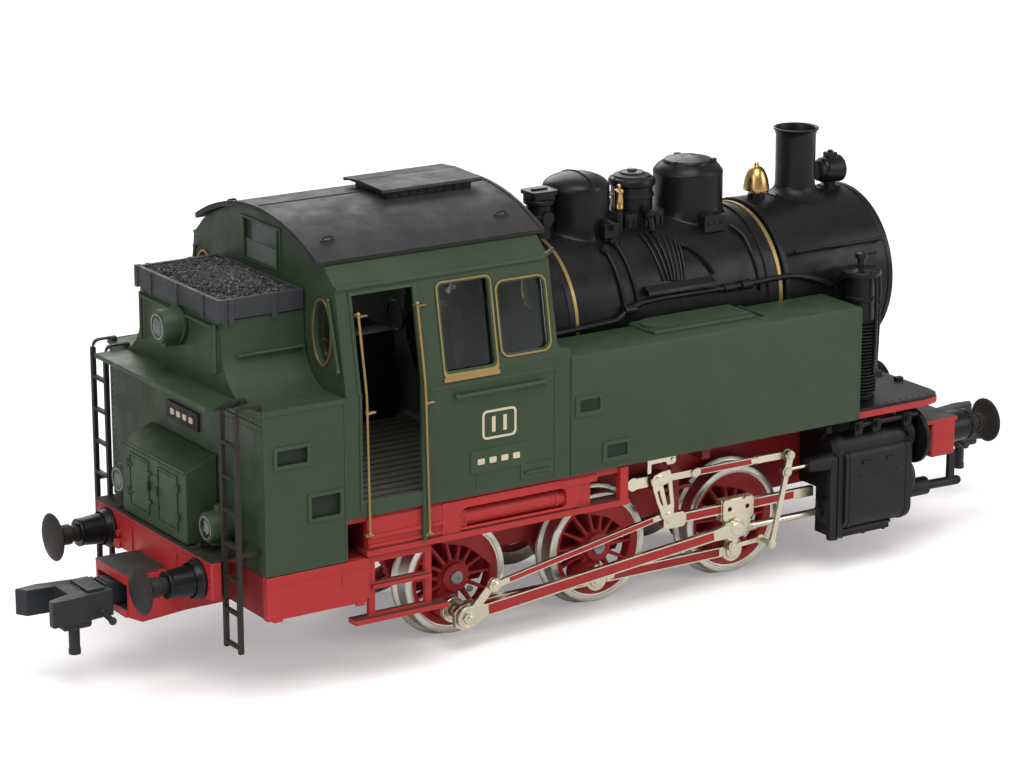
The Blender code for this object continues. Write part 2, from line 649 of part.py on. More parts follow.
def coupler(end, outward):
    """A claw coupler: shank, jaw with hooked tip, ramp, drop pin and side stud."""
    pivot = COUPLER_PIVOT_X[end]
    reach = TIP_X - abs(pivot)

    def behind_tip(distance):
        return pivot + outward * (reach - distance)

    shank_x = (pivot - outward * 3.0, behind_tip(22.0))
    shank = extruded([rectangle(shank_x, (-3.6, 3.6)), ring((pivot, 0), 1.9, 12)],
                     "Z", (21.4, 27.8))
    jaw = extruded([[(behind_tip(distance), y) for distance, y in JAW_OUTLINE]], "Z", (19.4, 27.0))
    ramp = box((behind_tip(17.0), behind_tip(8.0)), (-5.4, 2.2), (16.6, 20.0), 0.6)
    drop_pin = rod_z(behind_tip(12.8), -1.8, (8.4, 17.6), 1.6, 12)
    stud_x = behind_tip(19.5)
    stud = rod((stud_x, -5.0, 21.2), (stud_x, -13.0, 20.0), 0.9, 8)
    finish(union(shank, jaw, ramp, drop_pin, stud), "coupler_" + end, BLACK, (pivot, 0, 24.6))


for end, outward in (("rear", -1), ("front", 1)):
    for side, tag in SIDES:
        buffer(end, outward, side, tag)
    coupler(end, outward)


# --------------------------------------------------------------- footplate
def footplate_side(side):
    """The parts of one side, in their order of joining."""
    return [
        side_box(side, (-90.8, -61.2), (43.4, 45.3), (41.6, 47.3)),     # valance
        side_box(side, (-62.0, -13.5), (43.4, 45.3), (45.3, 47.2)),     # its thin front part
        side_box(side, (-91.2, -2.5), (39.8, 45.8), (36.5, 38.2)),      # running board
        side_box(side, (-5.4, -3.1), (43.1, 45.5), (37.1, 47.6)),       # front post
        side_box(side, (-90.5, -60.0), (42.6, 45.05), (37.3, 43.0)),    # under the cab door
        rod_x((-59.0, -20.5), side * 41.2, 41.3, 2.9, 16),              # air reservoir
        side_box(side, (-61.5, -57.5), (39.9, 44.2), (37.8, 44.0)),     # block at its rear end
        side_box(side, (-21.5, -15.5), (40.0, 44.5), (37.6, 46.0)),     # block at its front end
        side_box(side, (-123.2, -91.6), (43.6, 45.9), (23.6, 36.2)),    # rear skirt
        side_box(side, (-123.0, -121.0), (19.0, 45.7), (23.8, 36.0)),   # its rear wall
        side_box(side, (-121.6, -92.0), (19.3, 45.2), (34.3, 36.1)),    # its top
        side_box(side, (-93.5, -87.0), (19.5, 42.7), (34.4, 36.0)),     # strip ahead of the top
        side_box(side, (-90.2, -86.1), (19.6, 42.5), (34.7, 47.5)),     # inner upright
        side_box(side, (-90.1, -86.2), (40.0, 44.9), (37.0, 47.4))]     # outer upright


def footplate():
    plate = box((-87.4, -2.8), (-44.8, 44.8), (46.4, 48.1))
    opening = box((-70.0, 2.0), (-38.0, 38.0), (40.0, 52.0))
    cross_bar = box((-89.9, -86.3), (-44.6, 44.6), (41.1, 47.7))
    finish(union(cut(plate, opening), *footplate_side(RIGHT), *footplate_side(LEFT), cross_bar),
           "footplate", RED)


def front_footplate():
    outline = [(82.8, -44.0), (110.0, -44.0), (116.4, -42.2), (117.4, -38.0),    # (x, y)
               (117.4, 38.0), (116.4, 42.2), (110.0, 44.0), (82.8, 44.0)]
    finish(extruded([outline], "Z", (47.8, 51.0)), "front_footplate", BLACK)


footplate()
front_footplate()


# ------------------------------------------------------- tanks, cab, bunker
def tank(side, tag):
    """A side tank, open below, with a raised lid."""
    shell = side_box(side, TANK_X, (26.2, BODY_Y), TANK_Z, 0.7, 2, top_and_front_edges)
    inside = side_box(side, (TANK_X[0] + WALL, TANK_X[1] - WALL), (28.2, BODY_Y - WALL),
                      (40.0, TANK_Z[1] - WALL))
    lid = side_box(side, (10.5, 47.5), (25.9, 39.6), (83.4, 85.2), 0.6, 1, top_edges)
    finish(union(cut(shell, inside), lid), "tank_" + tag, GREEN)


# (y, z) up the left side, outside and inside
CAB_SIDE = [(BODY_Y, 48.5), (BODY_Y, 84.3), (40.7, 113.1)]
CAB_ROOM = [(44.0, 50.2), (44.0, 84.2), (39.0, 112.2), (32.8, 118.3), (32.8, 139.0)]
CAB_EAVE_Y = 34.4
CAB_WALL_X = (-29.8, -27.8)      # front wall, behind the side sheets' front edges


def cab_side_openings(side):
    out_y = (36.0, 60.0)
    rear_oval = oval((side * 34.0, 99.6), 5.0, 9.2)
    front_oval = oval((side * 33.6, 103.0), 4.2, 6.5)
    return [
        side_box(side, (-93.0, -72.6), (36.5, 60.0), (50.2, 111.0)),    # doorway
        side_box(side, (-65.4, -48.4), out_y, (84.3, 110.3), 1.6, 2, crosswise_edges),
        side_box(side, (-46.2, -30.2), out_y, (87.8, 108.2), 1.6, 2, crosswise_edges),
        extruded([rear_oval], "X", (-101.0, -90.0)),
        extruded([front_oval], "X", (-34.0, -24.0))]


def cab_body():
    section = CAB_SIDE + arch(CEILING_R, CAB_EAVE_Y) + mirrored(CAB_SIDE)
    room = extruded([CAB_ROOM + mirrored(CAB_ROOM)], "X", (CAB_X[0] + 2.2, CAB_WALL_X[0]))
    front_recess = box((CAB_WALL_X[1], -20.0), (-43.6, 43.6), (40.0, 140.0))
    front_notch = box((-27.6, -20.0), (-60.0, 60.0), (86.5, 103.5), 3.0, 4, rear_crosswise_edges)
    boiler_hole = rod_x((-40.0, -20.0), 0, BOILER_Z, BOILER_R + GAP + 0.15, 28)
    rear_hatch = box((-101.0, -90.0), (-10.6, 10.6), (112.0, 123.6))
    floor_opening = box((-94.0, -34.0), (-40.0, 40.0), (45.0, 52.0), 0.5)
    floor = box((-95.8, -29.0), (-41.0, 41.0), (48.6, 50.2))
    body = cut(extruded([section], "X", CAB_X), room, front_recess, front_notch, boiler_hole,
               *cab_side_openings(RIGHT), *cab_side_openings(LEFT), rear_hatch, floor_opening)
    finish(union(body, floor), "cab_body", GREEN)


def cab_roof():
    """The curved roof sheet with four short studs."""
    outline = arch(ROOF_R, 35.2) + list(reversed(arch(ROOF_R - 1.2, 34.9)))
    stud_y = 27.5
    stud_z = ROOF_CZ + math.sqrt(ROOF_R ** 2 - stud_y ** 2)
    studs = [rod_z(x, side * stud_y, (stud_z - 0.7, stud_z + 1.5), 0.8, 8)
             for x in (-92.0, -35.0) for side in (RIGHT, LEFT)]
    finish(union(extruded([outline], "X", (-100.0, -25.4)), *studs), "cab_roof", ROOF)


def roof_ventilator():
    vent = union(box((-61.5, -33.6), (-9.2, 9.2), (126.5, 130.9)),
                 box((-64.3, -30.8), (-11.4, 11.4), (130.2, 131.6), 0.3))
    roof_shape = rod_x((-80.0, -20.0), 0, ROOF_CZ, ROOF_R + GAP, 160)
    finish(cut(vent, roof_shape), "roof_ventilator", ROOF)


def rear_bunker():
    shell = box(BUNKER_X, (-BODY_Y, BODY_Y), (36.5, 82.6))
    inside = box((BUNKER_X[0] + WALL, BUNKER_X[1] - WALL), (-BODY_Y + WALL, BODY_Y - WALL),
                 (30.0, 81.0))
    top_outline = [(-134.4, -33.6), (-124.2, -33.6), (-124.2, -45.9), (BUNKER_X[1], -45.9),
                   (BUNKER_X[1], 45.9), (-124.2, 45.9), (-124.2, 33.6), (-134.4, 33.6)]  # (x, y)
    top = extruded([top_outline], "Z", (82.3, 83.5))
    # the upper part sweeps in from the top plate in a hollow quarter ellipse
    angles = [math.pi / 2 * i / 6 for i in range(7)]
    flare = [(24.0 + 13.0 * (1 - math.sin(t)), 83.2 + 13.8 * (1 - math.cos(t))) for t in angles]
    upper_side = [(37.0, 82.9)] + flare + [(24.0, 104.0)]
    upper = extruded([upper_side + mirrored(upper_side)], "X", (-124.0, BUNKER_X[1]))
    lower_lamps = [rod_x((-122.6, -131.5), side * 26.7, 47.1, 4.3, 16) for side in (RIGHT, LEFT)]
    upper_lamp = rod_x((-123.0, -131.0), 0, 98.4, 4.6, 16)
    bunker = union(cut(shell, inside), top, upper, *lower_lamps, upper_lamp)
    for side in (RIGHT, LEFT):                                      # shallow side recesses
        bunker = cut(bunker, side_box(side, (-119.7, -109.8), (45.2, 50.0), (67.4, 72.1)),
                     side_box(side, (-109.2, -99.7), (45.2, 50.0), (50.7, 57.3)))
    finish(bunker, "rear_bunker", GREEN)


def coal_box():
    loops = [rectangle((-124.9, -98.2), (-24.6, 24.6)), rectangle((-123.5, -99.4), (-23.2, 23.2))]
    finish(extruded(loops, "Z", (104.3, 110.2)), "coal_box", SLATE)


def coal_load():
    """A rippled mound on a flat base."""
    centre_x, length, width = -111.45, 23.4, 45.6
    rim_z, base_z = 108.4, 104.4
    mound, ripple = 3.0, 0.7                                        # heights
    bm = bmesh.new()
    bmesh.ops.create_grid(bm, x_segments=6, y_segments=10, size=0.5)
    for vert in bm.verts:
        x, y = vert.co.x, vert.co.y
        lift = (mound * (1 - (2 * x) ** 2) * (1 - (2 * y) ** 4)
                + ripple * math.sin(37 * x + 5) * math.cos(23 * y + 2))
        vert.co = point(centre_x + x * length, y * width, rim_z + max(0.0, lift))
    base = bmesh.ops.extrude_face_region(bm, geom=bm.faces[:])
    for part in base["geom"]:
        if isinstance(part, bmesh.types.BMVert):
            part.co.z = point(0, 0, base_z).z
    finish(from_bmesh(bm), "coal_load", COAL)


def toolbox():
    outline = [(-133.7, 40.3), (-123.8, 40.3), (-123.8, 65.0), (-133.7, 61.3)]   # (x, z)
    finish(extruded([outline], "Y", (-19.5, 19.5)), "toolbox", GREEN)


for side, tag in SIDES:
    tank(side, tag)
cab_body()
cab_roof()
roof_ventilator()
rear_bunker()
coal_box()
coal_load()
toolbox()


# ------------------------------------------------ boiler and its fittings
def fitted(solid, radius, x):
    """Cuts the foot of a fitting to the barrel below, with the usual gap."""
    return cut(solid, rod_x(x, 0, BOILER_Z, radius + GAP, 44))


def on_boiler(solid):
    return fitted(solid, BOILER_R, (-30, 69))


def on_smokebox(solid):
    return fitted(solid, SMOKE_R, (70, 112))


# In the profiles below the columns are (radius, height along the axis).
def boiler():
    """The barrel: closed at the rear, open at the front."""
    rear, front = BOILER_X
    inner = BOILER_R - WALL
    profile = [(0.0, rear + 2.4), (inner, rear + 2.4), (inner, front), (BOILER_R, front),
               (BOILER_R, rear), (0.0, rear)]
    finish(turned(profile, 36, (0, 0, BOILER_Z), FORWARD), "boiler", BLACK)


def backhead():
    profile = [(0.0, 2.4), (14.0, 2.4), (20.5, 1.6), (21.2, 0.0), (0.0, 0.0)]
    disc = turned(profile, 24, (-36.4, 0, BOILER_Z), (-1, 0, 0))
    round_boss = rod_x((-38.0, -41.0), 0, 74.0, 5.2, 14)
    shelf = box((-42.6, -38.4), (-9.0, 9.0), (93.0, 95.2))
    finish(union(disc, round_boss, shelf), "backhead", BLACK)


def smokebox():
    """The drum, closed at the rear, on its saddle."""
    rear, front = SMOKE_X
    inner = SMOKE_R - 2.2
    profile = [(0.0, rear + 2), (inner, rear + 2), (inner, front), (SMOKE_R, front),
               (SMOKE_R, rear), (0.0, rear)]
    drum = turned(profile, 36, (0, 0, BOILER_Z), FORWARD)
    saddle = cut(box((84.0, 107.0), (-14.5, 14.5), (51.3, 66.0)),
                 rod_x((80.0, 112.0), 0, BOILER_Z, SMOKE_R - 1.0, 40))
    finish(union(drum, saddle), "smokebox", BLACK)


def smokebox_door():
    """Domed door with two hinge straps on the left, a central stud and a handle."""
    front = SMOKE_X[1]
    profile = [(0.0, 4.6), (6.0, 4.3), (13.0, 3.2), (19.0, 1.4), (22.4, 0.9), (22.4, 0.0),
               (0.0, 0.0)]
    disc = turned(profile, 24, (front + GAP, 0, BOILER_Z), FORWARD)
    straps = [box((front + 0.5, front + 1.9), (20.0, 25.2), z)
              for z in ((79.0, 80.6), (88.0, 89.6))]
    stud = rod_x((front + 4.0, front + 8.2), 0, BOILER_Z, 1.1, 10)
    handle = box((front + 6.4, front + 7.6), (-0.9, 0.9), (79.4, 89.2))
    finish(union(disc, *straps, stud, handle), "smokebox_door", BLACK,
           (front + 1.2, 24.4, BOILER_Z))


def chimney():
    profile = [(0.0, 112.6), (5.0, 112.6), (5.3, 130.2), (7.0, 130.2), (7.0, 128.9), (6.1, 127.6),
               (6.3, 113.0), (7.2, 110.8), (9.6, 109.6), (9.6, 106.0), (0.0, 106.0)]
    finish(on_smokebox(turned(profile, 18, (91.3, 0, 0))), "chimney", BLACK)


def dome(name, x, radius, base_radius, top_z, crown):
    """A round dome: foot flange, cylindrical side and an elliptic crown."""
    foot_z = 104.0
    profile = [(0.0, top_z)]
    for i in range(1, 5):
        angle = math.pi / 2 * i / 4
        profile.append((radius * math.sin(angle), top_z - crown + crown * math.cos(angle)))
    profile += [(radius, 112.4), (base_radius, 110.6), (base_radius, foot_z), (0.0, foot_z)]
    finish(on_boiler(turned(profile, 18, (x, 0, 0))), name, BLACK)


def feed_dome():
    profile = [(0.0, 124.5), (3.6, 124.3), (6.2, 123.2), (6.9, 121.8), (7.15, 121.0),
               (7.15, 119.8), (6.4, 119.4), (6.4, 110.0), (0.0, 110.0)]
    foot = box((22.2, 36.6), (-7.4, 7.4), (104.0, 112.2), 0.5)
    finish(on_boiler(union(turned(profile, 16, (29.4, 0, 0)), foot)), "feed_dome", BLACK)


def safety_valve():
    x, y = -5.6, -2.5
    profile = [(0.0, 123.2), (3.2, 122.9), (4.6, 121.9), (4.6, 119.8), (3.0, 118.8),
               (2.6, 112.0), (3.4, 110.6), (3.4, 104.0), (0.0, 104.0)]
    branch = rod_y((x, 114.5), (-7.6, y), 2.0, 10)
    finish(on_boiler(union(turned(profile, 12, (x, y, 0)), branch)), "safety_valve", BLACK)


def bell():
    profile = [(0.0, 120.8), (0.7, 120.5), (0.7, 119.8), (1.6, 119.2), (2.7, 117.6), (3.5, 115.4),
               (4.0, 113.2), (4.1, 112.2), (3.9, 111.8), (2.6, 111.2), (2.6, 106.0), (0.0, 106.0)]
    finish(on_smokebox(turned(profile, 14, (76.3, 0, 0))), "bell", BRASS)


def whistle():
    profile = [(0.0, 122.0), (0.6, 121.8), (0.7, 120.9), (1.5, 120.4), (1.5, 114.6),
               (0.9, 114.0), (1.3, 113.4), (1.3, 104.0), (0.0, 104.0)]
    finish(on_boiler(turned(profile, 10, (19.6, -7.4, 0))), "whistle", BRASS)


def headlamp():
    profile = [(0.0, 108.6), (3.0, 108.4), (4.1, 108.0), (4.1, 103.2), (3.0, 101.6), (0.0, 101.2)]
    post = box((103.4, 106.6), (-1.4, 1.4), (104.0, 112.6))
    lamp = union(turned(profile, 14, (0, 0, 115.2), FORWARD), post)
    finish(on_smokebox(lamp), "headlamp", BLACK)


def air_pump():
    """An upright pump with five ribs."""
    profile = [(0.0, 97.0), (1.9, 97.0), (1.9, 95.2), (1.2, 94.8), (1.2, 92.0), (6.2, 91.6),
               (6.2, 89.8), (4.6, 89.2), (4.6, 75.6)]
    for i in range(5):
        z = 75.0 - 4.6 * i
        profile += [(4.7, z), (5.6, z - 1.2), (5.6, z - 2.6), (4.7, z - 3.8)]
    profile += [(3.4, 51.3), (0.0, 51.3)]
    finish(turned(profile, 12, (91.7, -33.2, 0)), "air_pump", BLACK)


boiler()
backhead()
smokebox()
smokebox_door()
chimney()
dome("steam_dome", x=9.1, radius=10.1, base_radius=10.9, top_z=125.8, crown=4.6)
dome("sand_dome", x=50.2, radius=10.65, base_radius=11.2, top_z=126.1, crown=4.2)
feed_dome()
safety_valve()
bell()
whistle()
headlamp()
air_pump()


# ------------------------------------------------ ladders, steps, the drive
def ladder(side, tag):
    first_z, pitch, opening = 17.0, 9.6, 8.2
    loops = [rectangle(span(side, (34.1, 43.8)), (14.8, 84.9))]
    for i in range(7):
        z = first_z + pitch * i
        loops.append(rectangle(span(side, (35.5, 42.4)), (z, z + opening)))
    brackets = [side_box(side, (-130.4, -122.6), (y - 0.7, y + 0.7), (83.6, 84.8))
                for y in (34.8, 43.1)]
    finish(union(extruded(loops, "X", (-130.9, -129.5)), *brackets), "ladder_" + tag, BLACK)


def cab_steps(side, tag):
    window_x = (-88.2, -71.8)
    loops = [rectangle((-90.3, -69.7), (17.8, 36.1)),
             rectangle(window_x, (19.4, 26.4)), rectangle(window_x, (28.4, 34.2))]
    lower_tread = side_box(side, (-95.8, -65.0), (42.4, 46.8), (17.2, 18.7))
    upper_tread = side_box(side, (-89.6, -70.4), (42.6, 46.2), (26.8, 28.0))
    frame = extruded(loops, "Y", span(side, (43.2, 44.8)))
    finish(union(frame, lower_tread, upper_tread), "cab_steps_" + tag, RED)


def drive_motor():
    shaft_z = 49.4
    case = rod_x((-19.0, 28.0), 0, shaft_z, 8.6, 16)
    base = box((-12.0, 20.0), (-11.8, 11.8), (40.7, 50.0), 0.8)
    shaft = rod_x((-26.0, 33.0), 0, shaft_z, 1.2, 8)
    rear_disc = rod_x((-24.6, -21.6), 0, shaft_z, 5.0, 12)
    finish(union(case, base, shaft, rear_disc), "drive_motor", STEEL)


for side, tag in SIDES:
    ladder(side, tag)
    cab_steps(side, tag)
drive_motor()
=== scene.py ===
import json
import math
import random

import bmesh
import bpy
from mathutils import Matrix, Vector
from mathutils.geometry import tessellate_polygon


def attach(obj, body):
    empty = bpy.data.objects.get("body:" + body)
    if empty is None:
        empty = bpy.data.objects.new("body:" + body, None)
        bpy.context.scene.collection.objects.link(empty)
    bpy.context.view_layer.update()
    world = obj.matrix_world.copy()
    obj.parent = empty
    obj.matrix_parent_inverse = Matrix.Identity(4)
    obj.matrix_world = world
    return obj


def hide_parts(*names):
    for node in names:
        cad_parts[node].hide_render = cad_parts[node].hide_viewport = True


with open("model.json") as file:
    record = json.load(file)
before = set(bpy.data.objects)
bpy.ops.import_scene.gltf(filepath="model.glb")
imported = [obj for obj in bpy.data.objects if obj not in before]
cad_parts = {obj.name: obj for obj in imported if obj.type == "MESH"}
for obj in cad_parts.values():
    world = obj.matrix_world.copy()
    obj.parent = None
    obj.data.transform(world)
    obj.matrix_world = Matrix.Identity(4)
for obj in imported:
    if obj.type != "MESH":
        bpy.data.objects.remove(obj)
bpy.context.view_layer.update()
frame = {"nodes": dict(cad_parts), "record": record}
NODES = frame["nodes"]
MM, LIFT = 0.001, 1.5          # working unit; flange depth under the rail head
pi = math.pi


def deg(a):
    return math.radians(a)


def linear(r, g, b):
    out = []
    for c in (r, g, b):
        c /= 255.0
        out.append(c / 12.92 if c <= 0.04045 else ((c + 0.055) / 1.055) ** 2.4)
    return tuple(out)


# ======================================================================
# materials
# ======================================================================
def finish_nodes(name):
    mat = bpy.data.materials.new(name)
    mat.use_nodes = True
    tree = mat.node_tree
    bsdf = tree.nodes["Principled BSDF"]
    return mat, tree, bsdf


def add(tree, kind, **inputs):
    n = tree.nodes.new(kind)
    for k, v in inputs.items():
        if k in n.inputs:
            n.inputs[k].default_value = v
    return n


def maths(tree, op, a, b=None, clamp=False):
    n = tree.nodes.new("ShaderNodeMath")
    n.operation = op
    n.use_clamp = clamp
    for i, v in enumerate((a, b)):
        if v is None:
            continue
        if isinstance(v, (int, float)):
            n.inputs[i].default_value = v
        else:
            tree.links.new(v, n.inputs[i])
    return n.outputs[0]


def ramp(tree, src, lo, hi, a=0.0, b=1.0):
    n = tree.nodes.new("ShaderNodeMapRange")
    n.inputs["From Min"].default_value = lo
    n.inputs["From Max"].default_value = hi
    n.inputs["To Min"].default_value = a
    n.inputs["To Max"].default_value = b
    tree.links.new(src, n.inputs["Value"])
    return n.outputs[0]


def mix(tree, fac, a, b):
    n = tree.nodes.new("ShaderNodeMix")
    n.data_type = "RGBA"
    for sock, v in (("Factor", fac),):
        if isinstance(v, (int, float)):
            n.inputs[0].default_value = v
        else:
            tree.links.new(v, n.inputs[0])
    for i, v in ((6, a), (7, b)):
        if isinstance(v, tuple):
            n.inputs[i].default_value = (*v[:3], 1.0)
        else:
            tree.links.new(v, n.inputs[i])
    return n.outputs[2]


def noise(tree, vec, scale, detail=4.0, rough=0.55):
    n = add(tree, "ShaderNodeTexNoise", Scale=scale, Detail=detail, Roughness=rough)
    tree.links.new(vec, n.inputs["Vector"])
    return n.outputs["Fac"]


def surface(name, colour, rough=0.45, metal=0.0, mottle=0.10, dust=0.10, dust_colour=(120, 110, 95),
            wear=0.0, wear_colour=(150, 140, 125), grain=4200.0, bump=0.25, stretch=None, coat=0.0, spec=0.30,
            rough_var=0.12, gain=None):
    """Painted, plated or moulded surface: mottled colour, settled dust, rubbed edges, fine relief."""
    mat, tree, bsdf = finish_nodes(name)
    link = tree.links.new
    coord = tree.nodes.new("ShaderNodeTexCoord")
    vec = coord.outputs["Object"]
    gain = (1.0 if metal > 0.5 else 0.62) if gain is None else gain
    base = tuple(c * gain for c in linear(*colour))
    dust_c = tuple(c * gain for c in linear(*dust_colour))
    wear_c = tuple(c * gain for c in linear(*wear_colour))
    broad = noise(tree, vec, 38.0, 5.0, 0.6)
    fine = noise(tree, vec, 520.0, 3.0, 0.6)
    darker = tuple(c * (1 - mottle) for c in base)
    lighter = tuple(min(1.0, c * (1 + mottle)) for c in base)
    col = mix(tree, ramp(tree, broad, 0.30, 0.70), darker, lighter)
    col = mix(tree, ramp(tree, fine, 0.35, 0.75, 0.0, mottle), col, tuple(c * 0.6 for c in base))
    geo = tree.nodes.new("ShaderNodeNewGeometry")
    sep = tree.nodes.new("ShaderNodeSeparateXYZ")
    link(geo.outputs["Normal"], sep.inputs[0])
    if dust:
        up = ramp(tree, sep.outputs["Z"], 0.35, 1.0)
        patch = ramp(tree, noise(tree, vec, 95.0, 6.0, 0.7), 0.38, 0.72)
        fac = maths(tree, "MULTIPLY", maths(tree, "MULTIPLY", up, patch), dust, True)
        col = mix(tree, fac, col, dust_c)
        speck = ramp(tree, noise(tree, vec, 2100.0, 2.0, 0.5), 0.68, 0.76)
        col = mix(tree, maths(tree, "MULTIPLY", speck, dust * 0.6, True), col, tuple(c * 0.5 for c in linear(175, 165, 150)))
    if wear:
        bev = tree.nodes.new("ShaderNodeBevel")
        bev.samples = 4
        bev.inputs["Radius"].default_value = 0.00035
        dot = tree.nodes.new("ShaderNodeVectorMath")
        dot.operation = "DOT_PRODUCT"
        link(bev.outputs["Normal"], dot.inputs[0])
        link(geo.outputs["Normal"], dot.inputs[1])
        edge = ramp(tree, dot.outputs["Value"], 0.995, 0.90)
        rub = ramp(tree, noise(tree, vec, 260.0, 5.0, 0.65), 0.42, 0.66)
        col = mix(tree, maths(tree, "MULTIPLY", maths(tree, "MULTIPLY", edge, rub), wear, True), col,
                  wear_c)
    link(col, bsdf.inputs["Base Color"])
    link(ramp(tree, noise(tree, vec, 140.0, 5.0, 0.6), 0.3, 0.7, max(0.03, rough - rough_var), min(1.0, rough + rough_var)),
         bsdf.inputs["Roughness"])
    bsdf.inputs["Metallic"].default_value = metal
    bsdf.inputs["Specular IOR Level"].default_value = spec
    if coat:
        bsdf.inputs["Coat Weight"].default_value = coat
        bsdf.inputs["Coat Roughness"].default_value = 0.25
    if bump:
        src = vec
        if stretch:
            mp = tree.nodes.new("ShaderNodeMapping")
            mp.inputs["Scale"].default_value = stretch
            link(vec, mp.inputs["Vector"])
            src = mp.outputs["Vector"]
        n = noise(tree, src, grain, 3.0, 0.55)
        b = tree.nodes.new("ShaderNodeBump")
        b.inputs["Strength"].default_value = bump * 0.45
        b.inputs["Distance"].default_value = 0.0001
        link(n, b.inputs["Height"])
        b2 = tree.nodes.new("ShaderNodeBump")
        b2.inputs["Strength"].default_value = bump * 0.35
        b2.inputs["Distance"].default_value = 0.0006
        link(noise(tree, vec, 120.0, 3.0, 0.5), b2.inputs["Height"])
        link(b.outputs["Normal"], b2.inputs["Normal"])
        link(b2.outputs["Normal"], bsdf.inputs["Normal"])
    return mat


GREEN = surface("green_paint", (56, 75, 52), 0.50, mottle=0.07, dust=0.10, dust_colour=(130, 130, 110), wear=0.35,
                wear_colour=(96, 114, 90), bump=0.22)
GREEN_LIP = surface("green_trim", (59, 79, 56), 0.48, mottle=0.06, dust=0.12, bump=0.15)
RED = surface("red_paint", (196, 48, 50), 0.46, mottle=0.07, dust=0.22, dust_colour=(120, 70, 60), wear=0.35,
              wear_colour=(222, 110, 100), bump=0.18)
RED_INFILL = surface("red_recess_paint", (186, 44, 46), 0.50, mottle=0.08, dust=0.10, bump=0.15)
RED_DARK = surface("red_shadow_paint", (150, 34, 36), 0.55, mottle=0.15, dust=0.30, dust_colour=(70, 40, 34), bump=0.2)
BLACK = surface("satin_black_paint", (25, 26, 27), 0.33, mottle=0.14, dust=0.07, dust_colour=(92, 88, 80), wear=0.30,
                wear_colour=(96, 94, 90), bump=0.22, spec=0.20)
BLACK_DEEP = surface("black_casting", (22, 23, 25), 0.50, mottle=0.2, dust=0.10, dust_colour=(70, 66, 60), bump=0.4)
BLACK_BROWN = surface("dusty_brown_black", (44, 39, 36), 0.60, mottle=0.16, dust=0.30, dust_colour=(104, 92, 78), wear=0.2,
                      wear_colour=(110, 98, 84), bump=0.35)
COUPLER = surface("coupler_plastic_black", (46, 50, 54), 0.50, mottle=0.12, dust=0.25, dust_colour=(96, 92, 86), wear=0.3,
                  wear_colour=(110, 108, 104), bump=0.3)
ROOF = surface("roof_paint", (44, 44, 47), 0.55, mottle=0.12, dust=0.25, dust_colour=(98, 95, 92), wear=0.35,
               wear_colour=(120, 116, 110), bump=0.25)
INSIDE = surface("cab_inside_paint", (92, 98, 92), 0.65, mottle=0.2, dust=0.2, dust_colour=(90, 84, 76), bump=0.05, gain=1.0)
DECK = surface("deck_paint", (46, 50, 42), 0.60, mottle=0.15, dust=0.30, dust_colour=(92, 86, 74), wear=0.3,
               wear_colour=(120, 80, 66), bump=0.25)
# darker green for the pocket panels: painted shade standing in for the shadow inside a recess
GREEN_PAINTED_SHADE = surface("pocket_painted_shade", (24, 38, 25), 0.6, mottle=0.10, dust=0.04, bump=0.1)
FLOOR_WOOD = surface("cab_floor", (74, 72, 66), 0.7, mottle=0.25, dust=0.35, dust_colour=(120, 112, 96), bump=0.5,
                     stretch=(0.3, 3.0, 1.0))
NICKEL = surface("nickel_plate", (205, 198, 176), 0.30, 1.0, mottle=0.10, dust=0.06, dust_colour=(120, 108, 84), bump=0.25,
                 grain=2600.0, stretch=(0.25, 1.0, 1.6), rough_var=0.10)
TYRE = surface("tyre_steel", (206, 203, 194), 0.33, 1.0, mottle=0.12, dust=0.10, dust_colour=(90, 84, 76), bump=0.3,
               grain=1800.0)
STEEL = surface("grey_steel", (150, 150, 150), 0.42, 1.0, mottle=0.15, dust=0.15, bump=0.3)
DARK_STEEL = surface("dark_steel", (92, 90, 88), 0.45, 1.0, mottle=0.2, dust=0.15, bump=0.3)
BRASS = surface("polished_brass", (186, 153, 98), 0.30, 1.0, mottle=0.08, dust=0.05, dust_colour=(120, 96, 52), bump=0.12)
BRASS_PAINT = surface("gold_line", (150, 126, 80), 0.42, 0.75, mottle=0.22, dust=0.10, bump=0.12)
SLATE = surface("coal_board_paint", (62, 64, 69), 0.58, mottle=0.15, dust=0.30, dust_colour=(110, 106, 100), wear=0.4,
                wear_colour=(130, 128, 124), bump=0.35)
COAL = surface("coal", (62, 62, 62), 0.50, mottle=0.35, dust=0.25, dust_colour=(92, 90, 88), bump=0.6, grain=3200.0,
               rough_var=0.2, spec=0.45)
CREAM = surface("cream_paint", (236, 222, 190), 0.5, mottle=0.05, dust=0.05, bump=0.1)
LENS_DARK = surface("lamp_reflector", (190, 195, 198), 0.14, 1.0, mottle=0.1, dust=0.05, bump=0.05)
RUBBED = surface("tread_worn", (116, 58, 50), 0.65, mottle=0.25, dust=0.55, dust_colour=(92, 62, 50), bump=0.5)
GREY_PANE = surface("hatch_pane", (74, 80, 80), 0.25, mottle=0.15, dust=0.1, bump=0.05)


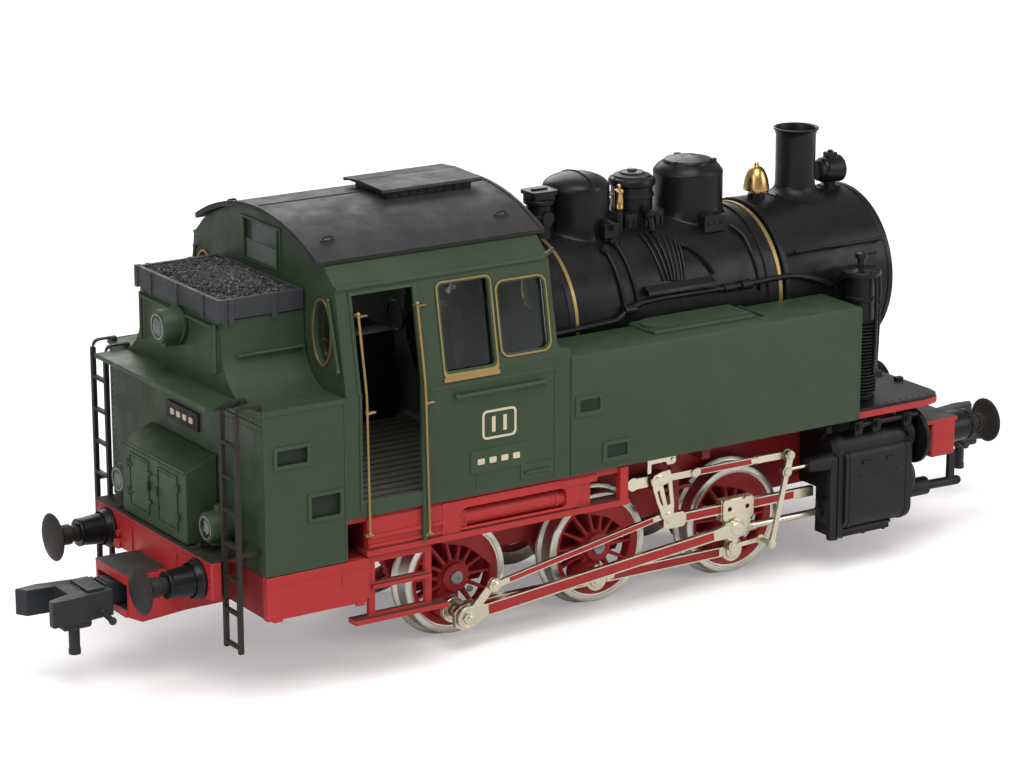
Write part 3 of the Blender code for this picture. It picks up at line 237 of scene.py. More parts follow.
def glass(name, tint=(0.86, 0.9, 0.88), haze=0.12):
    """Thin clear pane: mostly see-through with a faint sheen."""
    mat, tree, bsdf = finish_nodes(name)
    tree.nodes.remove(bsdf)
    out = tree.nodes["Material Output"]
    clear = add(tree, "ShaderNodeBsdfTransparent", Color=(*tint, 1.0))
    shine = add(tree, "ShaderNodeBsdfGlossy", Roughness=0.06)
    coord = tree.nodes.new("ShaderNodeTexCoord")
    n = noise(tree, coord.outputs["Object"], 40.0, 1.0, 0.5)
    smear = ramp(tree, n, 0.35, 0.75, 0.03, 0.16)
    tree.links.new(smear, shine.inputs["Roughness"])
    lw = add(tree, "ShaderNodeLayerWeight", Blend=0.25)
    fac = maths(tree, "MULTIPLY", lw.outputs["Fresnel"], 0.8)
    fac = maths(tree, "ADD", fac, maths(tree, "MULTIPLY", n, haze))
    m = tree.nodes.new("ShaderNodeMixShader")
    tree.links.new(fac, m.inputs[0])
    tree.links.new(clear.outputs[0], m.inputs[1])
    tree.links.new(shine.outputs[0], m.inputs[2])
    tree.links.new(m.outputs[0], out.inputs["Surface"])
    return mat


GLASS = glass("window_glass", (0.72, 0.76, 0.74), 0.08)


# ======================================================================
# mesh building, in millimetres above the rail head
# ======================================================================
class Build:
    """Gathers simple solids into one mesh with several finishes."""

    def __init__(self):
        self.v, self.f, self.m, self.mats = [], [], [], []
        self.cur = 0
        self.T = None

    def use(self, mat):
        if mat not in self.mats:
            self.mats.append(mat)
        self.cur = self.mats.index(mat)
        return self

    def put(self, verts, faces):
        k = len(self.v)
        if self.T is not None:
            verts = [tuple(self.T @ Vector(p)) for p in verts]
        self.v += [tuple(p) for p in verts]
        self.f += [tuple(i + k for i in face) for face in faces]
        self.m += [self.cur] * len(faces)
        return self

    def box(self, x0, x1, y0, y1, z0, z1):
        x0, x1, y0, y1, z0, z1 = min(x0, x1), max(x0, x1), min(y0, y1), max(y0, y1), min(z0, z1), max(z0, z1)
        v = [(x, y, z) for z in (z0, z1) for x, y in ((x0, y0), (x1, y0), (x1, y1), (x0, y1))]
        return self.put(v, [(0, 3, 2, 1), (4, 5, 6, 7), (0, 1, 5, 4), (1, 2, 6, 5), (2, 3, 7, 6), (3, 0, 4, 7)])

    def prism(self, loops, d0, d1, along="Y", fmap=None):
        """Outline (first loop) with holes, from d0 to d1."""
        if fmap is None:
            fmap = {"Y": lambda u, w, d: (u, d, w), "X": lambda u, w, d: (d, u, w), "Z": lambda u, w, d: (u, w, d)}[along]
        tris = tessellate_polygon([[Vector((u, w, 0)) for u, w in loop] for loop in loops])
        flat = [p for loop in loops for p in loop]
        n = len(flat)
        v = [fmap(u, w, d0) for u, w in flat] + [fmap(u, w, d1) for u, w in flat]
        f = [tuple(t) for t in tris] + [tuple(i + n for i in reversed(t)) for t in tris]
        at = 0
        for loop in loops:
            c = len(loop)
            for i in range(c):
                a, b = at + i, at + (i + 1) % c
                f.append((a, b, b + n, a + n))
            at += c
        return self.put(v, f)

    def lathe(self, prof, at=(0, 0, 0), axis=(0, 0, 1), n=40, a0=0.0, a1=2 * pi):
        """Profile of (radius, height) turned round an axis; closed rings when it never meets the axis."""
        turn = Vector(axis).to_track_quat("Z", "Y").to_matrix()
        at = Vector(at)
        full = abs(a1 - a0 - 2 * pi) < 1e-6
        cols = n if full else n + 1
        v, idx = [], []
        for r, h in prof:
            if r < 1e-6:
                idx.append([len(v)] * cols)
                v.append(at + turn @ Vector((0, 0, h)))
            else:
                row = []
                for i in range(cols):
                    t = a0 + (a1 - a0) * i / n
                    row.append(len(v))
                    v.append(at + turn @ Vector((r * math.cos(t), r * math.sin(t), h)))
                idx.append(row)
        f = []
        rows = len(prof)
        for k in range(rows - 1):
            for i in range(n):
                j = (i + 1) % cols if full else i + 1
                face = [idx[k][i], idx[k][j], idx[k + 1][j], idx[k + 1][i]]
                face = [x for q, x in enumerate(face) if x not in face[:q]]
                if len(face) > 2:
                    f.append(tuple(face))
        return self.put(v, f)

    def ringsolid(self, r0, r1, h0, h1, at, axis, n=40):
        return self.lathe([(r0, h0), (r1, h0), (r1, h1), (r0, h1), (r0, h0)], at, axis, n)

    def rod(self, p, q, r, r2=None, n=20):
        p, q = Vector(p), Vector(q)
        d = (q - p).length
        r2 = r if r2 is None else r2
        return self.lathe([(0, 0), (r, 0), (r2, d), (0, d)], p, q - p, n)

    def ball(self, c, r, n=14, squash=1.0):
        prof = [(r * math.sin(pi * i / n), -r * squash * math.cos(pi * i / n)) for i in range(n + 1)]
        prof[0], prof[-1] = (0, prof[0][1]), (0, prof[-1][1])
        return self.lathe(prof, c, (0, 0, 1), 2 * n)

    def rivet(self, c, axis, r=0.45, h=0.3):
        return self.lathe([(r, -0.15), (r, 0.0), (r * 0.72, h * 0.75), (0, h)], c, axis, 8)

    def rivets(self, p, q, count, axis, r=0.35, h=0.25):
        p, q = Vector(p), Vector(q)
        for i in range(count):
            self.rivet(p.lerp(q, i / max(1, count - 1)), axis, r, h)
        return self

    def hexnut(self, c, axis, r=1.0, h=0.8, dome=True):
        self.lathe([(0, -0.1), (r, -0.1), (r, h), (r * 0.86, h + 0.12), (0, h + 0.12)], c, axis, 6)
        if dome:
            self.lathe([(r * 0.5, h), (r * 0.5, h + 0.35), (r * 0.3, h + 0.55), (0, h + 0.6)], c, axis, 12)
        return self

    def pipe(self, pts, r, n=10, smooth=4, closed=False):
        """Round bar through points, corners eased."""
        pts = [Vector(p) for p in pts]
        if smooth and len(pts) > 2 and not closed:
            out = [pts[0]]
            for a, b, c in zip(pts, pts[1:], pts[2:]):
                ease = min((a - b).length, (c - b).length) * 0.45
                ease = min(ease, 4.0)
                p0, p2 = b + (a - b).normalized() * ease, b + (c - b).normalized() * ease
                for i in range(smooth + 1):
                    t = i / smooth
                    out.append(p0 * (1 - t) ** 2 + b * 2 * t * (1 - t) + p2 * t * t)
            out.append(pts[-1])
            pts = out
        v, rows = [], []
        prev = None
        count = len(pts)
        for i, p in enumerate(pts):
            if closed:
                d = (pts[(i + 1) % count] - pts[i - 1]).normalized()
            else:
                d = (pts[min(i + 1, count - 1)] - pts[max(i - 1, 0)]).normalized()
            if prev is None:
                side = d.orthogonal().normalized()
            else:
                side = (prev - d * prev.dot(d)).normalized()
            prev = side
            up = d.cross(side)
            row = []
            for k in range(n):
                t = 2 * pi * k / n
                row.append(len(v))
                v.append(p + side * (r * math.cos(t)) + up * (r * math.sin(t)))
            rows.append(row)
        f = []
        turns = count if closed else count - 1
        for i in range(turns):
            a, b = rows[i], rows[(i + 1) % count]
            for k in range(n):
                j = (k + 1) % n
                f.append((a[k], a[j], b[j], b[k]))
        if not closed:
            f.append(tuple(reversed(rows[0])))
            f.append(tuple(rows[-1]))
        return self.put(v, f)

    def strip(self, path, half, thick, normal):
        """Flat bar of given half width along path; normal(i) is its face direction."""
        v, f = [], []
        path = [Vector(p) for p in path]
        for i, p in enumerate(path):
            d = (path[min(i + 1, len(path) - 1)] - path[max(i - 1, 0)]).normalized()
            nn = Vector(normal).normalized() if not callable(normal) else Vector(normal(p)).normalized()
            s = d.cross(nn).normalized()
            for a, b in ((-half, 0), (half, 0), (half, thick), (-half, thick)):
                v.append(p + s * a + nn * b)
        for i in range(len(path) - 1):
            a, b = 4 * i, 4 * (i + 1)
            for k in range(4):
                j = (k + 1) % 4
                f.append((a + k, a + j, b + j, b + k))
        f.append((3, 2, 1, 0))
        e = 4 * (len(path) - 1)
        f.append((e, e + 1, e + 2, e + 3))
        return self.put(v, f)

    def done(self, name, body, replaces=(), bevel=0.12, seg=2, angle=32, sharp=38):
        mesh = bpy.data.meshes.new(name)
        mesh.from_pydata([(x * MM, y * MM, (z + LIFT) * MM) for x, y, z in self.v], [], self.f)
        for mat in self.mats:
            mesh.materials.append(mat)
        mesh.polygons.foreach_set("material_index", self.m)
        bm = bmesh.new()
        bm.from_mesh(mesh)
        bmesh.ops.recalc_face_normals(bm, faces=bm.faces)
        bm.to_mesh(mesh)
        bm.free()
        mesh.shade_smooth()
        mesh.set_sharp_from_angle(angle=deg(sharp))
        obj = bpy.data.objects.new(name, mesh)
        bpy.context.scene.collection.objects.link(obj)
        if bevel:
            mod = obj.modifiers.new("soft_edges", "BEVEL")
            mod.width = bevel * MM
            mod.segments = seg
            mod.limit_method = "ANGLE"
            mod.angle_limit = deg(angle)
            mod.harden_normals = True
            mod.use_clamp_overlap = True
        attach(obj, body)
        if replaces:
            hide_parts(*replaces)
        return obj


def skin(node, body, mat, bevel=0.25, zones=(), name=None, sharp=35, drop=None):
    """A softened copy of a CAD solid: welded, flats rejoined, edges rounded, finishes by zone."""
    src = NODES[node].data
    mesh = src.copy()
    mesh.name = (name or node) + "_skin"
    mesh.materials.clear()
    mesh.materials.append(mat)
    for _, m in zones:
        mesh.materials.append(m)
    bm = bmesh.new()
    bm.from_mesh(mesh)
    bmesh.ops.remove_doubles(bm, verts=bm.verts, dist=4e-6)
    bmesh.ops.dissolve_limit(bm, angle_limit=deg(0.8), verts=bm.verts, edges=bm.edges)
    bmesh.ops.recalc_face_normals(bm, faces=bm.faces)
    if drop:
        gone = [f for f in bm.faces if drop((f.calc_center_median() / MM) - Vector((0, 0, LIFT)), f.normal)]
        bmesh.ops.delete(bm, geom=gone, context="FACES")
    for f in bm.faces:
        f.material_index = 0
        c = f.calc_center_median() / MM - Vector((0, 0, LIFT))
        for i, (test, _) in enumerate(zones):
            if test(c, f.normal):
                f.material_index = i + 1
    bm.to_mesh(mesh)
    bm.free()
    for att in ("custom_normal", "sharp_edge", "sharp_face"):
        if att in mesh.attributes:
            mesh.attributes.remove(mesh.attributes[att])
    mesh.shade_smooth()
    mesh.set_sharp_from_angle(angle=deg(sharp))
    obj = bpy.data.objects.new((name or node) + "_skin", mesh)
    bpy.context.scene.collection.objects.link(obj)
    if bevel:
        mod = obj.modifiers.new("soft_edges", "BEVEL")
        mod.width = bevel * MM
        mod.segments = 2
        mod.limit_method = "ANGLE"
        mod.angle_limit = deg(35)
        mod.harden_normals = True
    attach(obj, body)
    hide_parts(node)
    return obj


def ring2(cx, cz, r, n=32, phase=0.0):
    return [(cx + r * math.cos(phase + 2 * pi * i / n), cz + r * math.sin(phase + 2 * pi * i / n)) for i in range(n)]


def roundrect(x0, x1, z0, z1, r, n=5):
    out = []
    for cx, cz, a in ((x1 - r, z1 - r, 0), (x0 + r, z1 - r, 90), (x0 + r, z0 + r, 180), (x1 - r, z0 + r, 270)):
        for i in range(n + 1):
            t = deg(a + 90 * i / n)
            out.append((cx + r * math.cos(t), cz + r * math.sin(t)))
    return out


def bar2(p, q, rp, rq, half, n=18, inset=0.0):
    """Outline of a rod with round ends."""
    rp, rq, half = rp - inset, rq - inset, half - inset
    (px, pz), (qx, qz) = p, q
    ang = math.atan2(qz - pz, qx - px)
    out = []
    a = math.asin(min(0.98, half / rp))
    for i in range(n):
        t = ang + a + (2 * pi - 2 * a) * i / (n - 1)
        out.append((px + rp * math.cos(t), pz + rp * math.sin(t)))
    b = math.asin(min(0.98, half / rq))
    for i in range(n):
        t = ang + pi + b + (2 * pi - 2 * b) * i / (n - 1)
        out.append((qx + rq * math.cos(t), qz + rq * math.sin(t)))
    return out


def panel2(p, q, s0, s1, h0, h1):
    """Long four-sided panel on the line p-q between distances s0 and s1 from p, half heights h0 and h1."""
    p, q = Vector(p), Vector(q)
    d = (q - p).normalized()
    n = Vector((-d.y, d.x))
    a, b = p + d * s0, p + d * s1
    return [tuple(a - n * h0), tuple(b - n * h1), tuple(b + n * h1), tuple(a + n * h0)]


def tag_of(side):
    return "right" if side < 0 else "left"


def side_y(z):
    """Half width of the cab side sheet at a height."""
    return 46.0 if z <= 84.3 else 46.0 - (z - 84.3) * 5.3 / 28.8


# ======================================================================
# wheels
# ======================================================================
WHEEL_R, FLANGE_R = 17.2, 18.7
GP = {}


def gear_points(side):
    turn = deg(90.0 if side > 0 else 0.0)
    crank = deg(-118.0) + turn
    ecc = deg(13.1) + turn
    off = (8.7 * math.cos(crank), 8.7 * math.sin(crank))
    pins = [(x + off[0], WHEEL_R + off[1]) for x in (-50.0, 0.0, 50.0)]
    if side < 0:
        more = {"gudgeon": (42.681, 18.7), "ecc": (-45.705, 18.2), "foot": (14.288, 28.791), "head": (59.344, 39.867),
                "low": (53.03, 13.0), "shift": 0.0}
    else:
        more = {"gudgeon": (54.721, 18.7), "ecc": (-51.0, 21.495), "foot": (9.536, 28.337), "head": (56.680, 39.763),
                "low": (65.07, 13.47), "shift": 12.04}
    more.update({"pins": pins, "crank": crank})
    return more


for s in (-1, 1):
    GP[s] = gear_points(s)


def build_wheel(b, cx, side, last):
    g = GP[side]
    crank = g["crank"]
    at = (cx, side * 20.0, WHEEL_R)
    ax = (0, side, 0)
    # tyre with flange fillet, chamfer and a bright machined face
    b.use(TYRE)
    b.lathe([(14.6, 0.25), (17.9, 0.0), (18.55, 0.25), (18.7, 0.7), (18.5, 1.15), (17.9, 1.5), (17.35, 1.75), (17.2, 2.2),
             (17.0, 5.7), (16.75, 6.0), (16.2, 6.12), (15.25, 6.12), (15.05, 5.9), (14.6, 5.8), (14.6, 0.25)], at, ax, 88)
    # red rim, hub and web ring
    b.use(RED)
    b.lathe([(12.6, 1.2), (14.75, 1.0), (14.95, 5.55), (14.3, 5.6), (13.5, 5.15), (12.75, 4.6), (12.6, 4.0), (12.6, 1.2)],
            at, ax, 88)
    b.lathe([(0, 0.8), (5.3, 1.2), (5.2, 4.6), (4.5, 5.1), (4.4, 6.3), (4.0, 6.62), (0, 6.62)], at, ax, 40)
    spokes = 14
    for i in range(spokes):
        t = crank + pi / spokes + 2 * pi * i / spokes
        off = abs(math.atan2(math.sin(t - crank), math.cos(t - crank)))
        d, nrm = Vector((math.cos(t), 0, math.sin(t))), Vector((-math.sin(t), 0, math.cos(t)))
        c = Vector((cx, 0, WHEEL_R))
        pts = []
        for r, w, hh, hb in ((4.2, 0.74, 5.2, 1.6), (8.0, 0.52, 4.75, 1.9), (13.2, 0.46, 4.35, 2.1)):
            p = c + d * r
            for sw, h in ((-w, hb), (-w, hh - 0.35), (-w * 0.45, hh), (w * 0.45, hh), (w, hh - 0.35), (w, hb)):
                q = p + nrm * sw
                pts.append((q.x, side * (20.0 + h), q.z))
        faces = []
        for a in range(2):
            for k in range(6):
                j = (k + 1) % 6
                faces.append((a * 6 + k, a * 6 + j, a * 6 + 6 + j, a * 6 + 6 + k))
        b.put(pts, faces)
    # balance weight: a crescent opposite the crank pin
    mid = crank + pi
    outer = [(cx + 13.4 * math.cos(mid + a), WHEEL_R + 13.4 * math.sin(mid + a)) for a in
             [deg(-58 + 116 * i / 28) for i in range(29)]]
    inner = []
    for i in range(1, 24):
        a = deg(58 - 116 * i / 24)
        r = 9.3 + 3.9 * (abs(a) / deg(58)) ** 3
        inner.append((cx + r * math.cos(mid + a), WHEEL_R + r * math.sin(mid + a)))
    b.prism([outer + inner], side * 21.4, side * 25.15)
    # crank boss
    px, pz = cx + 8.7 * math.cos(crank), WHEEL_R + 8.7 * math.sin(crank)
    b.lathe([(0, 1.0), (3.9, 1.0), (3.7, 5.4), (3.4, 7.0), (3.1, 7.35), (0, 7.35)], (px, side * 20, pz), ax, 32)
    b.prism([bar2((cx, WHEEL_R), (px, pz), 5.0, 3.6, 2.9)], side * 22.0, side * 25.4)
    # axle end, hub screw, pin
    b.use(STEEL)
    b.lathe([(0, 6.4), (2.05, 6.4), (2.05, 6.95), (1.85, 7.1), (0.35, 7.1), (0.3, 6.9), (0, 6.85)], at, ax, 28)
    if last:
        b.lathe([(0, 6.0), (1.0, 6.0), (1.0, 6.45), (0.8, 6.6), (0, 6.6)], (cx + 4.7, side * 20, WHEEL_R - 4.3), ax, 16)
    b.use(NICKEL)
    b.rod((px, side * 25.0, pz), (px, side * (38.4 if last else 32.3), pz), 1.55, n=24)
    if not last:
        b.lathe([(0, 11.5), (2.5, 11.5), (2.5, 12.15), (2.3, 12.35), (1.55, 12.4), (1.4, 12.75), (0, 12.85)],
                (px, side * 20, pz), ax, 28)


for name, cx, last in (("wheelset_rear", -50.0, True), ("wheelset_middle", 0.0, False), ("wheelset_front", 50.0, False)):
    b = Build()
    b.use(DARK_STEEL).rod((cx, -21.0, WHEEL_R), (cx, 21.0, WHEEL_R), 2.0)
    b.use(DARK_STEEL)
    for s in (-1, 1):
        b.lathe([(2.0, 0), (3.3, 0), (3.3, 1.4), (2.0, 1.4), (2.0, 0)], (cx, s * 17.4, WHEEL_R), (0, s, 0), 24)
        build_wheel(b, cx, s, last)
    b.done(name + "_looks", name, (name,), bevel=0.10)


# ======================================================================
# rods and valve gear
# ======================================================================
def fluted(b, p, q, half, y_in, y_out, side, s0, s1, rim=0.42, depth=0.32, taper=1.0):
    """Shank of a rod with a red-filled recess on its outer face."""
    p, q = Vector(p), Vector(q)
    shank = panel2(p, q, s0 - 0.6, s1 + 0.6, half, half * taper)
    inner = panel2(p, q, s0 + 0.6, s1 - 0.6, half - rim, half * taper - rim)
    b.use(NICKEL).prism([shank], side * y_in, side * (y_out - depth))
    b.prism([shank, inner], side * (y_out - depth), side * y_out)
    b.use(RED_INFILL).prism([inner], side * (y_out - depth - 0.05), side * (y_out - depth * 0.45))
    b.use(NICKEL)
    for a, e, w in ((s0 - 0.55, s0 + 0.7, half - 0.04), (s1 - 0.7, s1 + 0.55, half * taper - 0.04)):
        b.prism([panel2(p, q, a, e, w, w)], side * (y_out - depth * 0.9), side * (y_out + 0.04))


def eye(b, c, r, y_in, y_out, side, hole=0.0, n=36, step=0.0):
    """Round end of a rod, slightly dished round its bearing."""
    ax = (0, side, 0)
    w = y_out - y_in
    prof = [(hole, 0.0), (r - 0.12, 0.0), (r, 0.12), (r, w - 0.12), (r - 0.14, w), (r * 0.78, w), (r * 0.74, w - 0.1),
            (hole + 0.35, w - 0.1), (hole, w - 0.1)]
    if hole:
        prof.append((hole, 0.0))
    else:
        prof[0] = (0, 0)
        prof[-1] = (0, w - 0.1)
    b.lathe(prof, (c[0], side * y_in, c[1]), ax, n)


def gear_side(side):
    g = GP[side]
    tag = tag_of(side)
    rear, middle, front = g["pins"]
    ax = (0, side, 0)
    # coupling rod
    b = Build()
    for p, q, rp, rq in ((rear, middle, 3.8, 3.6), (middle, front, 3.6, 3.6)):
        L = (Vector(q) - Vector(p)).length
        fluted(b, p, q, 1.55, 29.9, 31.7, side, rp + 0.7, L - rq - 0.7, rim=0.38)
        b.use(NICKEL)
        for c, r in ((p, rp), (q, rq)):
            far = q if c == p else p
            d = (Vector(far) - Vector(c)).normalized()
            a1 = Vector(c) + d * (r + 1.4)
            b.prism([bar2(c, tuple(a1), r * 0.88, 1.5, 1.45)], side * 29.95, side * 31.55)
    for c, r in ((rear, 3.8), (middle, 3.6), (front, 3.6)):
        b.use(NICKEL)
        eye(b, c, r, 29.85, 31.75, side, 1.7)
        b.use(DARK_STEEL)
        b.ringsolid(1.62, 2.0, -0.05, 0.12, (c[0], side * 31.7, c[1]), ax, 24)
        b.use(NICKEL)
        b.box(c[0] - 0.7, c[0] + 0.7, side * 30.1, side * 31.5, c[1] + r - 0.4, c[1] + r + 0.75)
    # knuckle joint behind the middle pin
    b.rod((middle[0] + 5.4, side * 29.8, middle[1]), (middle[0] + 5.4, side * 31.9, middle[1]), 0.8, n=16)
    b.done("coupling_rod_%s_looks" % tag, "coupling_rod_" + tag, ("coupling_rod_" + tag,), bevel=0.08)

    # main rod, squared big end and round small end with its screw
    gud = g["gudgeon"]
    b = Build()
    L = (Vector(gud) - Vector(rear)).length
    fluted(b, rear, gud, 1.95, 36.9, 38.5, side, 6.8, L - 8.2, rim=0.45, taper=0.86)
    b.use(NICKEL)
    d = (Vector(gud) - Vector(rear)).normalized()
    n2 = Vector((-d.y, d.x))
    R0, G0 = Vector(rear), Vector(gud)
    big = [R0 - n2 * 3.6 - d * 2.0, R0 - n2 * 3.9 + d * 2.4, R0 - n2 * 2.7 + d * 4.6, R0 - n2 * 1.95 + d * 7.0,
           R0 + n2 * 1.95 + d * 7.0, R0 + n2 * 2.7 + d * 4.6, R0 + n2 * 3.9 + d * 2.4, R0 + n2 * 3.6 - d * 2.0,
           R0 + n2 * 2.2 - d * 4.0, R0 - n2 * 2.2 - d * 4.0]
    hole = [tuple(R0 + Vector(p)) for p in ring2(0, 0, 1.7, 24)]
    b.prism([[tuple(p) for p in big], hole], side * 36.9, side * 38.5)
    small = [G0 - n2 * 2.3 - d * 2.2, G0 - n2 * 1.75 - d * 8.4, G0 + n2 * 1.75 - d * 8.4, G0 + n2 * 2.3 - d * 2.2]
    b.prism([[tuple(p) for p in small]], side * 36.95, side * 38.55)
    eye(b, gud, 2.9, 36.9, 38.6, side)
    b.lathe([(0, 0), (2.25, 0), (2.35, 0.25), (2.35, 0.75), (2.05, 1.05), (0.4, 1.15), (0.35, 0.95), (0, 0.95)],
            (gud[0], side * 38.0, gud[1]), ax, 32)
    b.use(NICKEL)
    for k in (-1, 1):
        c = R0 + d * 3.0 + n2 * (2.5 * k)
        b.hexnut((c.x, side * 38.5, c.y), ax, 0.55, 0.3, False)
    b.done("main_rod_%s_looks" % tag, "main_rod_" + tag, ("main_rod_" + tag,), bevel=0.08)

    # return crank fixed on the rear pin
    ecc = g["ecc"]
    b = Build()
    b.use(NICKEL)
    b.prism([bar2(rear, ecc, 3.5, 1.8, 1.35)], side * 38.8, side * 39.55)
    eye(b, rear, 3.4, 38.8, 39.75, side)
    b.hexnut((rear[0], side * 39.7, rear[1]), ax, 2.0, 0.55)
    eye(b, ecc, 1.75, 38.8, 39.7, side)
    b.rod((ecc[0], side * 39.4, ecc[1]), (ecc[0], side * 41.1, ecc[1]), 0.9, n=20)
    e2 = (Vector(ecc) - R0).normalized()
    for k in (2.9, 4.1):
        c = R0 + e2 * k
        b.rivet((c.x, side * 39.55, c.y), ax, 0.45, 0.25)
    b.done("return_crank_%s_looks" % tag, "wheelset_rear", ("return_crank_" + tag,), bevel=0.08)

    # eccentric rod
    foot = g["foot"]
    b = Build()
    L = (Vector(foot) - Vector(ecc)).length
    fluted(b, ecc, foot, 0.98, 40.0, 41.0, side, 3.6, L - 3.4, rim=0.28, depth=0.26, taper=0.95)
    b.use(NICKEL)
    d = (Vector(foot) - Vector(ecc)).normalized()
    for c, r, sgn in ((ecc, 2.0, 1), (foot, 1.6, -1)):
        eye(b, c, r, 39.95, 41.05, side, 1.0)
        b.prism([bar2(c, tuple(Vector(c) + d * (3.9 * sgn)), r * 0.8, 0.95, 0.9)], side * 40.0, side * 41.0)
    b.lathe([(0, 0), (1.25, 0), (1.25, 0.35), (0.9, 0.6), (0, 0.7)], (ecc[0], side * 40.9, ecc[1]), ax, 20)
    b.lathe([(0, 0), (1.0, 0), (1.0, 0.2), (0, 0.25)], (foot[0], side * 40.95, foot[1]), ax, 20)
    b.done("eccentric_rod_%s_looks" % tag, "eccentric_rod_" + tag, ("eccentric_rod_" + tag,), bevel=0.06)

    # crosshead with slippers, piston rod and union link
    sh = g["shift"]
    b = Build()
    b.use(NICKEL)
    b.prism([[(38.4 + sh, 20.9), (50.1 + sh, 20.9), (50.1 + sh, 27.5), (38.4 + sh, 27.5)],
             [(39.0 + sh, 22.75), (49.5 + sh, 22.75), (49.5 + sh, 26.45), (39.0 + sh, 26.45)]], side * 33.1, side * 35.75)
    b.prism([[(38.6 + sh, 21.6), (39.9 + sh, 20.6), (48.8 + sh, 20.6), (50.0 + sh, 21.6), (50.0 + sh, 27.0),
              (49.2 + sh, 27.6), (46.8 + sh, 27.6), (46.6 + sh, 27.0), (41.8 + sh, 27.0), (41.6 + sh, 27.6),
              (39.2 + sh, 27.6), (38.6 + sh, 27.0)], ring2(41.0 + sh, 24.6, 0.75, 16), ring2(47.6 + sh, 24.6, 0.75, 16)],
            side * 35.75, side * 36.6)
    b.prism([[(40.6 + sh, 21.4), (41.2 + sh, 16.6), (42.4 + sh, 15.3), (46.8 + sh, 15.3), (48.6 + sh, 17.0),
              (49.2 + sh, 21.4)]], side * 33.3, side * 36.5)
    b.rod((44.0 + sh, side * 34.8, 17.4), (90.0 + sh - (0 if side < 0 else 7.0), side * 34.8, 17.4), 1.1, n=24)
    b.rod((47.6 + sh, side * 34.8, 17.4), (51.6 + sh, side * 34.8, 17.4), 1.9, 1.5, n=24)
    b.prism([[(41.3 + sh, 11.3), (42.0 + sh, 10.9), (43.6 + sh, 10.9), (44.3 + sh, 11.3), (46.1 + sh, 16.5),
              (41.7 + sh, 17.4)]], side * 33.4, side * 35.0)
    low = g["low"]
    knee = (42.8 + sh, 12.4)
    b.prism([bar2(knee, low, 1.6, 1.45, 0.72)], side * 35.0, side * 36.3)
    eye(b, knee, 1.7, 34.9, 36.5, side)
    b.lathe([(0, 0), (0.9, 0), (0.9, 0.15), (0, 0.25)], (knee[0], side * 36.4, knee[1]), ax, 16)
    b.rod((low[0], side * 35.6, low[1]), (low[0], side * 41.0, low[1]), 0.8, n=20)
    b.lathe([(0, 0), (1.35, 0), (1.35, 1.6), (0, 1.6)], (low[0], side * 35.0, low[1]), ax, 24)
    b.done("crosshead_%s_looks" % tag, "crosshead_" + tag, ("crosshead_" + tag,), bevel=0.10)

    # expansion link: slotted plate, triangular window, trunnion
    top = (10.8, 40.2)
    lean = math.atan2(foot[0] - top[0], top[1] - foot[1])

    def at(u, w):
        return (top[0] + w * math.sin(lean) + u * math.cos(lean), top[1] - w * math.cos(lean) + u * math.sin(lean))

    outline = []
    ctrl = [(-2.5, -0.4), (-2.2, -1.5), (-1.2, -2.3), (1.2, -2.3), (4.5, -1.6), (4.6, 0.5), (3.9, 4.0), (2.9, 9.5), (1.8, 12.5),
            (1.0, 13.4), (0.0, 13.7), (-1.0, 13.4), (-1.8, 12.5), (-2.2, 10.4), (-2.6, 6.0), (-2.7, 2.4)]
    outline = [at(*p) for p in ctrl]
    slot_a = [at(*p) for p in ((-1.5, 2.9), (-1.55, 6.0), (-1.1, 8.2), (-0.7, 7.6), (-0.8, 5.0), (-0.7, 2.9))]
    slot_b = [at(*p) for p in ((0.9, 2.0), (0.6, 8.6), (1.7, 8.6), (2.9, 2.0))]
    b = Build()
    b.use(NICKEL)
    b.prism([outline, slot_a, slot_b], side * 41.3, side * 42.1)
    b.lathe([(0, 0), (1.9, 0), (1.9, 0.75), (1.5, 0.95), (0, 1.0)], (top[0], side * 41.3, top[1]), ax, 24)
    p_low = at(0.0, 12.0)
    b.lathe([(0, 0), (1.5, 0), (1.5, 0.7), (1.1, 0.95), (0, 1.0)], (p_low[0], side * 41.3, p_low[1]), ax, 24)
    b.done("expansion_link_%s_looks" % tag, "expansion_link_" + tag, ("expansion_link_" + tag,), bevel=0.08)

    # radius rod: paddle tail, plain front, red panel
    head = g["head"]
    dx = head[0] - GP[-1]["head"][0]
    tail = (2.6 + dx, 40.0)
    tip = (head[0], head[1] - 0.1)
    b = Build()
    b.use(NICKEL)
    b.prism([bar2(tail, (12.0 + dx, 40.0), 2.0, 2.1, 1.6)], side * 39.4, side * 40.4)
    b.prism([bar2((11.0 + dx, 40.0), (26.0 + dx, 39.95), 1.3, 1.25, 1.05)], side * 39.45, side * 40.35)
    fluted(b, (20.0 + dx, 40.0), tip, 1.05, 39.4, 40.4, side, 5.5, 29.0, rim=0.26, depth=0.24)
    b.use(NICKEL)
    b.prism([bar2((47.0 + dx, 39.95), tip, 1.15, 1.8, 1.05)], side * 39.4, side * 40.4)
    b.rod((25.0 + dx, side * 39.0, 39.95), (25.0 + dx, side * 40.9, 39.95), 1.35, n=20)
    eye(b, tip, 1.8, 39.35, 40.45, side)
    b.done("radius_rod_%s_looks" % tag, "radius_rod_" + tag, ("radius_rod_" + tag,), bevel=0.06)

